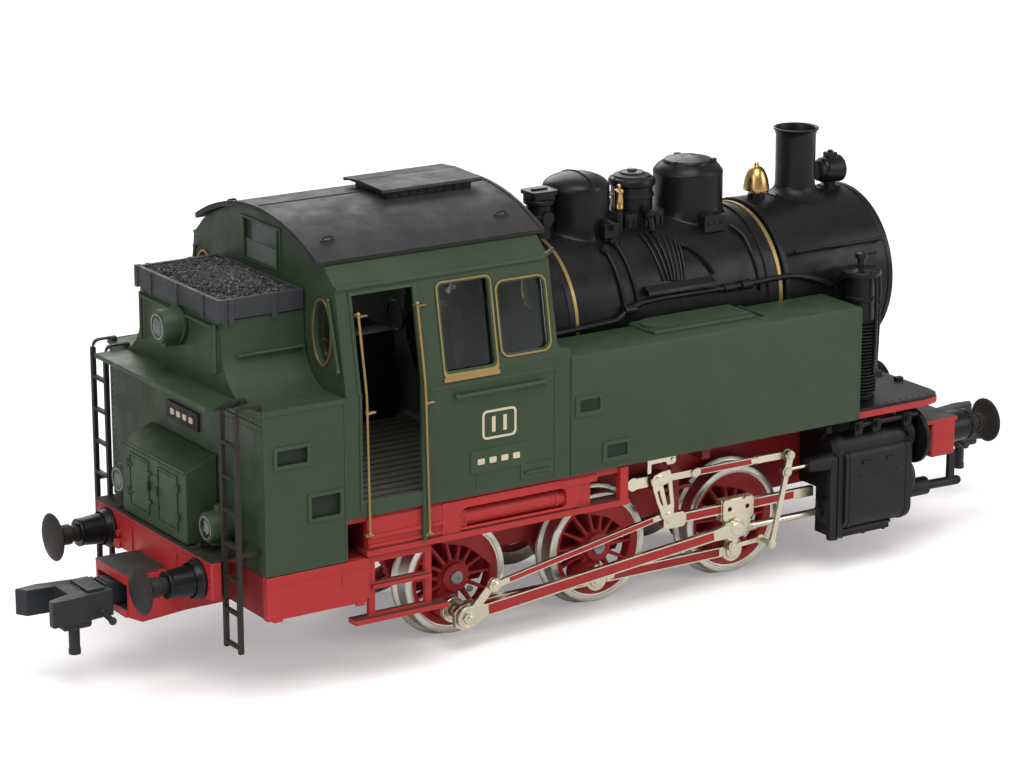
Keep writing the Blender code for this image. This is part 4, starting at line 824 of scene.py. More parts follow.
    # combination lever
    la = (58.2, 35.0)
    b = Build()
    b.use(NICKEL)
    b.prism([bar2(la, head, 1.75, 1.6, 1.15)], side * 41.3, side * 42.3)
    b.prism([bar2(la, low, 1.7, 1.5, 0.85)], side * 41.3, side * 42.3)
    for c, r in ((head, 1.6), (la, 1.75), (low, 1.5)):
        eye(b, c, r, 41.25, 42.35, side)
        b.lathe([(0, 0), (1.2, 0), (1.25, 0.2), (1.15, 0.6), (0.5, 0.8), (0, 0.8)], (c[0], side * 42.1, c[1]), ax, 20)
    b.done("combination_lever_%s_looks" % tag, "combination_lever_" + tag, ("combination_lever_" + tag,),
           bevel=0.07)

    # slide bar: red-faced bar, nickel bracket at the rear
    b = Build()
    b.use(NICKEL)
    b.prism([[(18.0, 23.05), (73.6, 23.05), (73.6, 26.15), (18.0, 26.15)]], side * 33.95, side * 35.35)
    b.prism([[(25.0, 23.05), (73.6, 23.05), (73.6, 26.15), (25.0, 26.15)],
             [(25.6, 23.5), (66.0, 23.5), (66.0, 25.7), (25.6, 25.7)]], side * 35.35, side * 35.55)
    b.use(RED_INFILL).prism([[(25.6, 23.5), (66.0, 23.5), (66.0, 25.7), (25.6, 25.7)]], side * 35.2, side * 35.46)
    b.use(NICKEL).prism([[(17.0, 22.9), (18.0, 22.2), (24.2, 22.2), (25.0, 23.0), (25.0, 26.2), (24.0, 26.9), (18.0, 26.9),
                          (17.0, 26.0)]], side * 33.4, side * 36.0)
    b.hexnut((18.7, side * 36.0, 24.6), ax, 0.6, 0.3, False)
    b.done("slidebar_%s_looks" % tag, "engine_frame", ("slidebar_" + tag,), bevel=0.10)

    # lifting link bracket above the expansion link, and the motion bracket behind it
    b = Build()
    b.use(NICKEL)
    b.prism([[(7.2, 42.6), (8.6, 42.6), (8.6, 45.4), (13.8, 45.4), (14.4, 44.4), (16.8, 44.4), (17.4, 45.6), (17.4, 47.2),
              (7.2, 47.2)]], side * 40.7, side * 41.2)
    b.rod((16.4, side * 38.2, 45.6), (16.4, side * 41.5, 45.6), 0.9, n=16)
    b.use(RED_DARK)
    b.prism([[(19.6, 26.0), (24.4, 26.0), (24.4, 47.6), (19.0, 47.6), (19.0, 41.5), (21.2, 40.5), (21.2, 33.0), (19.6, 31.0)]],
            side * 32.0, side * 33.3)
    b.box(17.0, 29.0, side * 16.5, side * 33.4, 33.0, 34.2)
    b.box(6.0, 32.0, side * 30.5, side * 39.0, 47.2, 48.3)
    b.done("motion_bracket_%s" % tag, "engine_frame", (), bevel=0.12)

    # cylinder block
    b = Build()
    b.use(BLACK_DEEP)
    arc = []
    for i in range(9):
        t = deg(180 + 90 * i / 8)
        arc.append((34.8 + 3.8 * math.cos(t), 15.6 + 3.8 * math.sin(t)))
    arc2 = [(38.6 + 5.2 * math.cos(deg(-90 + 90 * i / 10)), 17.0 + 5.2 * math.sin(deg(-90 + 90 * i / 10))) for i in range(11)]
    arc3 = [(41.2 + 2.5 * math.cos(deg(90 * i / 6)), 35.3 + 2.6 * math.sin(deg(90 * i / 6))) for i in range(7)]
    sec = [(31.0, 37.9)] + [(max(31.0, y), z) for y, z in arc] + [(min(43.75, y), z) for y, z in arc2] + arc3
    b.prism([[(side * y, z) for y, z in sec]], 79.7, 105.5, "X")
    for x in (81.2, 103.2):
        sec2 = [(side * (37.3 + (y - 37.3) * 1.02), 25 + (z - 25) * 1.015) for y, z in sec]
        b.prism([sec2], x, x + 1.1, "X")
    cover = [(0, 0), (6.4, 0), (6.5, 1.2), (5.9, 1.7), (4.6, 1.9), (4.4, 3.4), (3.2, 4.4), (1.7, 4.8), (1.6, 6.2), (0, 6.2)]
    b.lathe(cover, (80.6, side * 36.4, 17.8), (-1, 0, 0), 40)
    b.lathe([(0, 0), (7.0, 0), (7.0, 1.4), (6.4, 2.2), (5.4, 2.6), (5.0, 3.8), (0, 4.2)], (105.3, side * 36.4, 24.5),
            (1, 0, 0), 40)
    for i in range(10):
        t = 2 * pi * i / 10 + 0.3
        b.hexnut((107.0, side * (36.4 + 5.9 * math.cos(t)), 24.5 + 5.9 * math.sin(t)), (1, 0, 0), 0.5, 0.45, False)
    b.prism([[(side * 31.6, 37.8), (side * 31.6, 10.0), (side * 42.0, 10.0), (side * 42.8, 11.0), (side * 42.8, 37.0),
              (side * 42.0, 38.0)]], 77.6, 79.8, "X")
    b.prism([[(75.0, 10.0), (78.0, 9.7), (78.0, 38.0), (75.4, 36.0), (74.6, 30.0)]], side * 40.6, side * 42.4)
    b.lathe([(0, 0), (3.2, 0), (3.9, 0.8), (4.85, 1.6), (4.9, 3.4), (4.3, 3.8), (4.3, 28.6), (4.9, 29.0), (4.9, 31.0),
             (4.0, 32.0), (3.0, 32.8), (0, 32.8)], (75.8, side * 38.4, 38.6), (1, 0, 0), 40)
    for x in (79.5, 103.8):
        for i in range(8):
            t = 2 * pi * i / 8
            b.rivet((x, side * (38.4 + 4.7 * math.cos(t)), 38.6 + 4.7 * math.sin(t)), (0, math.cos(t) * side, math.sin(t)), 0.4)
    b.box(82.0, 104.0, side * 17.6, side * 33.0, 22.0, 41.0)
    b.prism([[(79.0, 9.7), (99.5, 9.7), (99.5, 12.5), (79.0, 12.5)]], side * 38.7, side * 40.7)
    for x in (81.4, 90.0, 98.0):
        b.rod((x, side * 39.7, 10.4), (x, side * 39.7, 9.2), 0.9, 0.7)
    b.pipe([(80.0, side * 41.1, 12.2), (80.0, side * 41.9, 12.2), (99.0, side * 41.9, 12.2), (99.0, side * 40.5, 12.2)], 0.45)
    # slots and small bosses on the outer face
    for x, z in ((87.6, 33.6), (97.0, 33.6)):
        b.box(x - 1.5, x + 1.5, side * 43.4, side * 44.1, z - 0.55, z + 0.55)
    for x in (85.0, 92.4, 99.8):
        b.rivet((x, side * 43.7, 29.5), ax, 0.5, 0.3)
    b.rod((67.0, side * 40.1, 35.0), (75.9, side * 40.1, 35.0), 2.1, 3.1, n=24)
    b.rod((105.0, side * 34.6, 18.6), (118.6, side * 34.6, 18.4), 2.9, n=28)
    b.rod((116.0, side * 34.6, 18.4), (131.6, side * 34.6, 18.0), 1.5, n=24)
    b.ball((131.6, side * 34.6, 18.0), 1.45, 8)
    b.prism([[(127.7, 17.0), (130.1, 17.0), (130.1, 28.4), (127.7, 28.4)]], side * 33.9, side * 35.3)
    b.use(NICKEL).rod((57.4, side * 40.1, 35.0), (68.0, side * 40.1, 35.0), 0.65, n=16)
    b.done("cylinder_%s_looks" % tag, "engine_frame", ("cylinder_" + tag,), bevel=0.18)


gear_side(-1)
gear_side(1)


# ======================================================================
# frames, beams, footplate, steps
# ======================================================================
def up(n):
    return n.z > 0.9


skin("main_frame", "engine_frame", RED, 0.18, zones=(
    (lambda c, n: up(n) and c.z > 39.55 and (c.x < -123 or c.x > 110), DECK),
    (lambda c, n: c.x < -134.8 and abs(c.y) > 20, BLACK),
    (lambda c, n: c.x > 126.0 and abs(c.y) > 20, BLACK),
    (lambda c, n: abs(c.y) < 13.55 and -134 < c.x < 112 and c.z < 40, RED_DARK),
    (lambda c, n: up(n) and abs(c.y) < 9.6 and (c.x > 126.5 or c.x < -138.0), DECK)))

b = Build()
for s in (-1, 1):
    for x0, out, r_base, r_end, x_end in ((-134.8, -1, 4.95, 3.95, -144.8), (126.0, 1, 5.15, 4.9, 140.7)):
        ax = (out, 0, 0)
        rear = out < 0
        b.use(BLACK)
        b.lathe([(0, 0), (5.9, 0), (5.9, 0.7), (5.6, 1.0), (0, 1.0)], (x0, s * 27.35, 33.1), ax, 44)
        base = abs(x_end - x0)
        b.lathe([(5.5, 0.9), (5.4, 1.4), (r_base + 0.1, 2.0), (r_base, 2.6)], (x0, s * 27.35, 33.1), ax, 44)
        b.lathe([(2.62, base - 0.6), (2.62, base + 0.1), (r_end, base + 0.1), (r_end + 0.12, base - 0.2),
                 (r_end + 0.12, base - 0.9), (r_end, base - 1.1)], (x0, s * 27.35, 33.1), ax, 44)
        for k in range(4):
            t = pi / 4 + k * pi / 2
            b.hexnut((x0 + out * 0.9, s * 27.35 + 5.0 * math.cos(t), 33.1 + 5.0 * math.sin(t)), ax, 0.5, 0.3, False)
        # beam relief: steps in the plate, lamp irons and rivets
        b.use(RED)
        face = -134.7 if rear else 125.9
        dz, edge = (-1.6, 34.0) if rear else (0.0, 38.6)
        b.prism([[(s * 12.0, 31.3 + dz), (s * 19.0, 31.3 + dz), (s * 19.0, 33.4 + dz), (s * 15.2, 33.4 + dz), (s * 15.2, 38.6 + dz),
                  (s * 12.0, 38.6 + dz)]], face, face + out * 0.35, "X")
        for y in (11.0, edge):
            b.rivets((face, s * y, 32.4 + dz), (face, s * y, 39.6 + dz), 4, ax, 0.4, 0.28)
        b.rivets((face, s * 13.5, 40.2 + dz), (face, s * edge, 40.2 + dz), 9, ax, 0.32, 0.22)
        b.rod((face, s * 20.4, 31.8 + dz), (face + out * 1.2, s * 20.2, 31.8 + dz), 1.6, n=20)
        b.rod((face, s * 20.4, 34.8 + dz), (face + out * 0.8, s * 20.4, 34.8 + dz), 1.1, n=16)
b.use(RED)
for out, x in ((-1, -134.3), (1, 118.6)):
    w = 9.0 if out < 0 else 16.4
    pts = [(-w, 20.6), (-w + 2, 18.2), (w - 2, 18.2), (w, 20.6), (w, 28.6), (-w, 28.6)]
    b.prism([pts], x, x + out * 0.8, "X")
b.use(DECK)
b.box(-134.95, -123.9, -35.1, 35.1, 39.6, 39.98)
b.use(RED)
b.box(-135.05, -134.7, -35.2, 35.2, 39.3, 39.65)
b.use(BLACK_BROWN)
for s in (-1, 1):
    b.rod((-131.6, s * 22.8, 39.9), (-131.6, s * 22.8, 41.6), 0.8)
    b.box(-134.0, -131.0, s * 21.4, s * 23.4, 39.8, 40.6)
b.done("beam_details", "engine_frame", (), bevel=0.10)

skin("footplate", "engine_frame", RED, 0.25, zones=(
    (lambda c, n: up(n) and 37.9 < c.z < 38.5, RUBBED),
    (lambda c, n: abs(c.y) < 39.0 and c.z < 46, RED_DARK),
    (lambda c, n: n.z < -0.9 and c.z < 40, RED_DARK)))
b = Build()
for s in (-1, 1):
    b.use(RED)
    face0, face1 = s * 43.35, s * 45.45
    curve = [(-61.0 + 3.4 * (1 - math.cos(deg(90 * i / 10))), 41.8 + 3.4 * math.sin(deg(90 * i / 10))) for i in range(11)]
    b.prism([[(-66.4, 37.4), (-61.0, 37.4)] + curve + [(-26.5, 45.2), (-26.5, 47.6), (-66.4, 47.6)]], face0, face1)
    hook = [(-21.0 + 3.4 * math.sin(deg(90 * i / 8)), 41.2 - 3.4 * (1 - math.cos(deg(90 * i / 8)))) for i in range(9)]
    b.prism([[(-27.0, 47.6), (-27.0, 45.2), (-24.6, 44.6), (-24.0, 43.0), (-23.9, 40.0), (-25.0, 38.3), (-21.8, 38.3), (-20.3, 39.8),
              (-19.3, 42.2), (-19.2, 44.4), (-18.0, 45.8), (-14.6, 46.2), (-13.4, 47.6)]], s * 43.3, s * 45.0)
    for z, r, y in ((41.3, 3.0, 41.2), (45.0, 0.5, 42.4), (38.75, 0.5, 44.6)):
        b.rod((-60.5, s * y, z), (-20.5, s * y, z), r, n=32)
    for x in (-58.0, -26.6):
        b.ringsolid(2.9, 3.25, -0.5, 0.5, (x, s * 41.2, 41.3), (1, 0, 0), 32)
    b.ringsolid(2.9, 3.15, -0.3, 0.3, (-28.6, s * 41.2, 41.3), (1, 0, 0), 32)
    b.box(-90.4, -66.0, s * 44.9, s * 45.7, 41.5, 42.6)
    b.box(-90.4, -66.0, s * 44.9, s * 45.5, 38.8, 39.7)
    b.box(-90.4, -66.0, s * 44.6, s * 45.4, 43.9, 44.6)
    b.box(-97.0, -66.5, s * 43.9, s * 44.6, 46.6, 50.0)
    b.box(-90.4, -66.0, s * 44.2, s * 45.0, 46.9, 47.8)
    b.rivets((-122.0, s * 45.9, 35.2), (-93.0, s * 45.9, 35.2), 16, (0, s, 0), 0.28, 0.2)
    # lower edge of the skirt with its joint line and lugs
    b.box(-123.1, -91.8, s * 45.7, s * 46.1, 33.6, 34.0)
    b.box(-94.9, -92.4, s * 44.6, s * 46.2, 22.8, 24.0)
    b.box(-121.4, -118.6, s * 44.6, s * 46.2, 23.0, 24.0)
    b.box(-99.5, -98.9, s * 45.8, s * 46.2, 29.0, 34.0)
    b.box(-91.6, -90.6, s * 43.0, s * 45.7, 24.4, 36.0)
    b.box(-5.7, -2.9, s * 45.4, s * 45.75, 37.3, 48.0)
    b.use(RED_DARK)
    b.box(-58.0, -16.0, s * 39.2, s * 39.7, 38.2, 47.0)
b.use(RED_DARK)
for x in (-30.0, 30.0):
    b.box(x - 1.5, x + 1.5, -39.0, 39.0, 43.0, 46.0)
b.done("footplate_details", "engine_frame", (), bevel=0.15)

for s in (-1, 1):
    tag = tag_of(s)
    skin("cab_steps_" + tag, "engine_frame", RED, 0.28, zones=((lambda c, n: up(n), RUBBED),))

b = Build()
outline = [(82.9, -43.9), (110.0, -43.9), (115.0, -42.6), (116.6, -41.4), (117.3, -38.0), (117.3, 38.0), (116.6, 41.4),
           (115.0, 42.6), (110.0, 43.9), (82.9, 43.9)]
b.use(RED).prism([outline], 47.9, 49.9, "Z")
small = [(x - (0.25 if x > 100 else 0), y * 0.994) for x, y in outline]
b.use(BLACK).prism([small], 49.9, 50.9, "Z")
for s in (-1, 1):
    b.box(96.0, 114.6, s * 18.0, s * 18.3, 50.85, 51.05)
    b.rivets((96.0, s * 42.0, 50.9), (112.0, s * 42.0, 50.9), 7, (0, 0, 1), 0.35, 0.2)
b.use(RED)
for s in (-1, 1):
    b.prism([[(112.5, 41.0), (115.6, 41.0), (112.9, 47.9), (100.0, 47.9), (100.0, 46.0), (110.0, 45.4)]], s * 30.0, s * 31.6)
    b.use(BLACK).box(113.8, 116.2, s * 23.6, s * 25.6, 50.8, 52.0)
    b.rod((115.0, s * 8.0, 50.9), (115.0, s * 8.0, 52.2), 0.9)
    b.use(RED)
b.done("front_footplate_looks", "engine_frame", ("front_footplate",), bevel=0.2)

# ======================================================================
# buffers, couplers, ladders
# ======================================================================
for end, face, out in (("rear", -153.7, -1), ("front", 150.45, 1)):
    for s in (-1, 1):
        tag = tag_of(s)
        b = Build()
        b.use(BLACK_BROWN)
        prof = [(0, 0.0), (2.0, -0.05), (4.0, -0.22), (5.6, -0.5), (6.6, -0.85), (7.0, -1.15), (7.0, -1.4), (6.6, -1.75), (5.4, -2.1),
                (3.6, -2.7), (2.5, -3.3), (2.35, -4.0), (2.3, -15.4), (0, -15.4)]
        b.lathe(prof, (face, s * 27.35, 33.1), (out, 0, 0), 56)
        if out < 0:
            b.lathe([(2.3, -3.2), (2.9, -3.9), (3.0, -6.3), (2.8, -6.6), (2.3, -6.6)], (face, s * 27.35, 33.1), (out, 0, 0), 36)
        else:
            b.ringsolid(2.2, 2.7, -5.6, -4.6, (face, s * 27.35, 33.1), (out, 0, 0), 32)
        name = "buffer_%s_%s" % (end, tag)
        b.done(name + "_looks", name, (name,), bevel=0.08)
    skin("coupler_" + end, "coupler_" + end, COUPLER, 0.35)
    b = Build()
    pivot = -139.5 if end == "rear" else 128.0
    reach = 173.5 - abs(pivot)

    def o(u):
        return pivot + out * u
    b.use(COUPLER)
    b.rod((o(reach - 12.8), -1.8, 8.5), (o(reach - 12.8), -1.8, 10.2), 1.75, n=24)
    b.box(o(reach - 21.0), o(reach - 15.5), -5.6, 5.6, 26.9, 27.7)
    b.box(o(reach - 24.0), o(reach - 22.8), -3.3, 3.3, 27.6, 28.2)
    b.rod((o(reach - 19.5), -12.4, 20.1), (o(reach - 19.5), -13.2, 20.0), 1.15, n=16)
    b.use(DARK_STEEL).rod((o(0.0), 0, 21.2), (o(0.0), 0, 28.2), 1.45, n=24)
    b.use(BLACK_DEEP).box(o(reach - 17.5), o(reach - 14.5), -2.2, 2.2, 26.9, 27.15)
    b.done("coupler_%s_details" % end, "coupler_" + end, (), bevel=0.15)

for s in (-1, 1):
    tag = tag_of(s)
    b = Build()
    b.use(BLACK_BROWN)
    for y in (34.85, 43.05):
        b.prism([[(s * (y - 0.7), 14.9), (s * (y + 0.7), 14.9), (s * (y + 0.7), 82.7), (s * (y - 0.7), 82.7)]], -130.85, -129.55, "X")
        arcs = [(-130.2 + 2.2 * (1 - math.cos(deg(90 * i / 6))), s * y, 82.5 + 1.9 * math.sin(deg(90 * i / 6))) for i in range(7)]
        b.strip(arcs + [(-122.8, s * y, 84.4)], 0.7, 0.55, (0, 0, 1))
        b.box(-124.6, -122.8, s * (y - 1.1), s * (y + 1.1), 83.6, 84.8)
    z = 16.2
    while z < 82:
        b.rod((-130.2, s * 34.6, z), (-130.2, s * 43.3, z), 0.55, n=12)
        b.box(-131.0, -129.6, s * 35.0, s * 42.9, z + 0.2, z + 0.75)
        z += 9.6
    for y in (34.85, 43.05):
        b.box(-129.8, -123.6, s * (y - 0.6), s * (y + 0.6), 42.6, 43.8)
    b.done("ladder_%s_looks" % tag, "engine_frame", ("ladder_" + tag,), bevel=0.12)

# ======================================================================
# tanks, cab, bunker
# ======================================================================
for s in (-1, 1):
    tag = tag_of(s)
    skin("tank_" + tag, "engine_frame", GREEN, 0.30)
    b = Build()
    b.use(GREEN_LIP)
    lid = [(46.2, s * 27.0), (46.2, s * 38.6)]
    cy = s * 32.8
    for i in range(15):
        t = deg(90 + 180 * i / 14)
        lid.append((16.6 + 5.8 * math.cos(t), cy + s * 5.8 * math.sin(t)))
    b.prism([lid], 84.9, 85.7, "Z")
    b.rivets((20.0, s * 38.0, 85.7), (45.0, s * 38.0, 85.7), 8, (0, 0, 1), 0.3, 0.2)
    b.box(49.5, 50.3, s * 27.0, s * 39.5, 83.9, 84.8)
    for x0, x1, z0, z1 in ((-21.6, -12.4, 65.9, 71.7), (-12.1, -2.7, 50.8, 56.8)):
        b.use(GREEN_LIP)
        b.prism([roundrect(x0 - 0.2, x1 + 0.2, z0 - 0.2, z1 + 0.2, 0.5), roundrect(x0 + 1.3, x1 - 1.0, z0 + 1.2, z1 - 1.0, 0.3)],
                s * 45.9, s * 46.35)
        # flat darker panel inside the frame: painted shade making the pocket look recessed
        b.use(GREEN_PAINTED_SHADE).box(x0 + 1.2, x1 - 0.9, s * 45.9, s * 46.06, z0 + 1.1, z1 - 0.9)
    # vertical seams
    b.use(GREEN)
    b.box(-23.4, -22.6, s * 45.8, s * 46.22, 48.8, 83.6)
    b.box(81.6, 82.35, s * 27.0, s * 46.05, 48.8, 83.4)
    b.done("tank_%s_trim" % tag, "engine_frame", (), bevel=0.12)


def cab_inner(c, n):
    if n.y * c.y > 0.25 * abs(c.y) or (n.z > 0.2 and c.z > 60) or (c.x < -95.9 and n.x < -0.5) or (c.x > -28.4 and n.x > 0.5):
        return False
    return -97.2 < c.x < -26.6 and abs(c.y) < side_y(max(c.z, 48.5)) - 1.0 and c.z > 50.15


skin("cab_body", "engine_frame", GREEN, 0.30, zones=(
    (lambda c, n: cab_inner(c, n) and up(n) and c.z < 51, FLOOR_WOOD),
    (lambda c, n: cab_inner(c, n) and not (abs(n.x) > 0.5 and (abs(c.x + 93.0) < 0.3 or abs(c.x + 72.6) < 0.3)), INSIDE)))


def leaning(s, off):
    return lambda u, w, d: (u, s * (side_y(w) + off + d), w)


b = Build()
for s in (-1, 1):
    b.use(BRASS_PAINT)
    # window frames on the sloping side sheets
    b.use(GREEN_LIP)
    b.prism([roundrect(-66.2, -47.6, 83.6, 111.1, 2.1, 6), roundrect(-65.0, -48.8, 86.0, 110.0, 1.2, 6)], 0.0, 0.34,
            fmap=leaning(s, -0.1))
    b.prism([roundrect(-47.0, -29.4, 87.0, 109.0, 3.0, 8), roundrect(-45.9, -30.5, 88.1, 107.9, 2.2, 8)], 0.0, 0.34,
            fmap=leaning(s, -0.1))
    b.use(BRASS_PAINT)
    b.prism([roundrect(-66.0, -47.8, 83.8, 110.9, 2.0, 6), roundrect(-65.55, -48.25, 85.3, 110.45, 1.6, 6)], 0.0, 0.5,
            fmap=leaning(s, -0.1))
    b.box(-66.1, -47.7, s * 45.6, s * 46.5, 83.1, 84.4)
    b.prism([roundrect(-46.8, -29.6, 87.2, 108.8, 2.9, 8), roundrect(-46.35, -30.05, 87.65, 108.35, 2.5, 8)], 0.0, 0.5,
            fmap=leaning(s, -0.1))
    # rear ovals and front ovals
    for x, cy, cz, rx, rz, out in ((-97.75, 34.0, 99.6, 5.0, 9.2, -1), (-29.7, 33.6, 103.0, 4.2, 6.5, 1)):
        def oval(k, cy=cy, cz=cz, rx=rx, rz=rz):
            return [(s * cy + (rx + k) * math.cos(2 * pi * i / 48), cz + (rz + k) * math.sin(2 * pi * i / 48)) for i in range(48)]
        b.prism([oval(0.45), oval(-0.15)], x, x + out * 0.5, "X")
    # door handrails with brackets
    for x0, z0, x1, z1, low in ((-91.9, 105.7, -90.8, 43.0, 43.2), (-73.0, 106.2, -71.4, 39.9, 40.2)):
        y_top = side_y(105.7) + 1.5
        b.pipe([(x0, s * y_top, z0), (x0 + 0.3, s * (46.0 + 1.1), 83.6), (x1, s * 46.75, low)], 0.36, 14, 5)
        b.ball((x0, s * y_top, z0 + 0.2), 0.62, 8)
        b.rod((x0, s * (y_top - 1.8), z0 - 0.5), (x0, s * y_top, z0 - 0.5), 0.4)
        b.pipe([(x0 + 3.4, s * (side_y(105.5) + 0.2), z0 - 0.9), (x0, s * y_top, z0 - 0.6)], 0.3)
        b.ball((x0 + 0.9, s * 46.9, 78.3), 0.5, 8)
        b.rod((x0 + 0.9, s * 45.6, 78.3), (x0 + 0.9, s * 46.9, 78.3), 0.5)
        b.rod((x0 + 0.9, s * 46.6, 78.3), (x0 + 3.4, s * 46.2, 78.2), 0.42)
        b.ball((x1, s * 46.7, low + 0.2), 0.6, 8)
        b.box(x1 - 1.2, x1 + 1.2, s * 45.2, s * 46.7, low - 0.6, low + 0.1)
b.done("cab_brasswork", "engine_frame", (), bevel=0.10)

b = Build()
for s in (-1, 1):
    b.use(GREEN_LIP)
    # gutter line along the cab side, bottom edge of the slope, door post, door head
    b.prism([[(-97.5, 112.7), (-30.0, 112.7), (-26.0, 114.6), (-26.0, 115.5), (-30.2, 113.7), (-97.5, 113.7)]], 0.0, 0.9,
            fmap=lambda u, w, d, s=s: (u, s * (side_y(w) - 0.3 + d), w))
    b.box(-93.4, -93.0 + 0.4, s * 44.2, s * 46.3, 50.2, 84.0)
    b.box(-73.3, -71.9, s * 45.2, s * 46.45, 38.2, 84.2)
    b.prism([[(-73.3, 84.2), (-71.9, 84.2), (-71.9, 111.6), (-73.3, 111.6)]], 0.0, 0.5, fmap=leaning(s, -0.05))
    b.prism([[(-93.8, 84.0), (-92.8, 84.0), (-92.8, 111.6), (-93.8, 111.6)]], 0.0, 0.35, fmap=leaning(s, -0.05))
    b.prism([[(-93.8, 110.8), (-71.9, 110.8), (-71.9, 111.7), (-93.8, 111.7)]], 0.0, 0.45, fmap=leaning(s, -0.05))
    b.box(-93.15, -73.05, s * 40.0, s * 46.12, 48.6, 50.65)
    b.box(-93.2, -73.0, s * 45.2, s * 46.25, 50.2, 52.6)
    b.box(-97.5, -93.4, s * 45.9, s * 46.12, 83.9, 84.5)
    b.box(-71.9, -27.5, s * 45.9, s * 46.12, 83.9, 84.5)
    # long grab rail under the windows, on two stand-offs
    b.rod((-62.2, s * 47.1, 78.6), (-33.2, s * 47.1, 78.6), 0.62, n=16)
    for x in (-61.6, -33.8):
        b.rod((x, s * 45.8, 78.6), (x, s * 47.1, 78.6), 0.8)
        b.ball((x - 0.5 if x < -50 else x + 0.5, s * 47.1, 78.6), 0.85, 8)
    # panel joints, plate and ledge
    for p in (((-70.5, 82.3), (-29.0, 81.2)), ((-29.0, 81.4), (-29.0, 49.4)), ((-55.5, 50.4), (-55.5, 55.0))):
        (xa, za), (xb, zb) = p
        b.box(min(xa, xb) - 0.12, max(xa, xb) + 0.12, s * 45.9, s * 46.16, min(za, zb) - 0.12, max(za, zb) + 0.12)
    b.prism([roundrect(-57.4, -38.4, 54.9, 61.6, 0.4)], s * 45.9, s * 46.2)
    b.box(-40.6, -29.4, s * 45.9, s * 46.2, 50.3, 54.9)
    b.box(-39.2, -30.6, s * 46.0, s * 46.75, 52.1, 52.8)
    # grab rail at the cab's rear edge and end knobs
    b.pipe([(-98.4, s * 38.6, 109.4), (-98.5, s * 41.2, 100.0), (-98.4, s * 43.6, 90.6)], 0.5, 12, 4)
    b.rivets((-97.6, s * 43.0, 88.0), (-97.6, s * 38.6, 112.0), 9, (-1, 0, 0), 0.25, 0.2)
    b.ball((-98.5, s * 38.6, 109.6), 0.7, 8)
    b.ball((-98.5, s * 43.6, 90.5), 0.7, 8)
    b.use(GREEN)
b.done("cab_trim", "engine_frame", (), bevel=0.12)

b = Build()
for s in (-1, 1):
    b.use(CREAM)
    w = 0.65
    b.prism([roundrect(-53.5, -42.1, 64.3, 72.8, 1.5, 6), roundrect(-53.5 + w, -42.1 - w, 64.3 + w, 72.8 - w, 1.0, 6)], s * 45.95, s * 46.28)
    # plain neutral marks in place of figures and lettering
    for k in (-1, 1):
        cx = -47.8 + k * 1.9
        b.prism([[(cx - 0.55, 66.3), (cx + 0.55, 66.3), (cx + 0.55, 70.8), (cx - 0.55, 70.8)]], s * 45.95, s * 46.25)
    for i in range(4):
        cx = -54.0 + 3.95 * i
        b.prism([roundrect(cx - 1.15, cx + 1.15, 57.3, 59.0, 0.3, 3)], s * 46.1, s * 46.42)
b.use(BLACK_BROWN).prism([roundrect(-9.4, 9.4, 68.9, 74.2, 0.5)], -123.5, -124.3, "X")
b.use(CREAM)
for i in range(4):
    cy = -5.6 + 3.7 * i
    b.prism([roundrect(cy - 1.1, cy + 1.1, 70.7, 72.4, 0.3, 3)], -124.2, -124.5, "X")
b.done("plain_marks", "engine_frame", (), bevel=0.05)

b = Build()
b.use(GLASS)
for s in (-1, 1):
    b.prism([[(-65.3, 84.4), (-48.5, 84.4), (-48.5, 110.2), (-65.3, 110.2)]], 0.0, 0.25, fmap=leaning(s, -1.5))
    b.prism([[(-46.1, 87.9), (-30.3, 87.9), (-30.3, 108.1), (-46.1, 108.1)]], 0.0, 0.25, fmap=leaning(s, -1.5))
    b.prism([[(s * 34.0 + 4.9 * math.cos(2 * pi * i / 32), 99.6 + 9.1 * math.sin(2 * pi * i / 32)) for i in range(32)]],
            -96.6, -96.4, "X")
b.done("window_glass", "engine_frame", (), bevel=0)

b = Build()
b.use(GREY_PANE).prism([[(-10.5, 112.1), (10.5, 112.1), (10.5, 123.5), (-10.5, 123.5)]], -96.9, -96.6, "X")
b.use(INSIDE).box(-97.2, -96.9, -10.5, 10.5, 112.1, 117.4)
b.use(GREEN_LIP).prism([[(-11.4, 111.6), (11.4, 111.6), (11.4, 124.3), (-11.4, 124.3)], [(-10.5, 112.1), (10.5, 112.1), (10.5, 123.5), (-10.5, 123.5)]],
                       -97.5, -98.0, "X")
for y in (-9.6, 9.6):
    b.box(-98.3, -97.5, y - 0.3, y + 0.3, 112.2, 123.3)
b.done("rear_hatch", "engine_frame", (), bevel=0.1)

# cab interior: back plate gear, gauge, levers, seats, planked floor
b = Build()
b.use(FLOOR_WOOD)
for i in range(19):
    y = -40.0 + 80.0 * i / 18
    b.box(-94.5, -34.0, y - 1.75, y + 1.75, 50.25, 50.75)
b.use(BLACK_DEEP)
b.box(-58.0, -38.0, -44.0, -27.0, 50.3, 78.0)
b.box(-58.0, -38.0, 27.0, 44.0, 50.3, 78.0)
b.box(-95.3, -93.6, -30.0, 30.0, 50.3, 96.0)
b.pipe([(-42.0, -12.0, 96.0), (-46.0, -14.0, 104.0), (-46.0, -18.0, 110.0), (-38.0, -20.0, 114.0)], 0.9)
b.pipe([(-42.0, 10.0, 96.0), (-45.0, 14.0, 102.0), (-45.0, 22.0, 106.0), (-38.0, 24.0, 112.0)], 0.9)
b.pipe([(-43.0, -20.0, 66.0), (-48.0, -20.0, 84.0), (-50.0, -21.0, 97.0)], 0.8)
b.pipe([(-43.0, 4.0, 90.0), (-50.0, 2.0, 99.0), (-50.0, -8.0, 103.0)], 0.7)
b.ringsolid(4.2, 4.9, -0.4, 0.4, (-45.0, 15.0, 86.0), (1, 0, 0.1), 32)
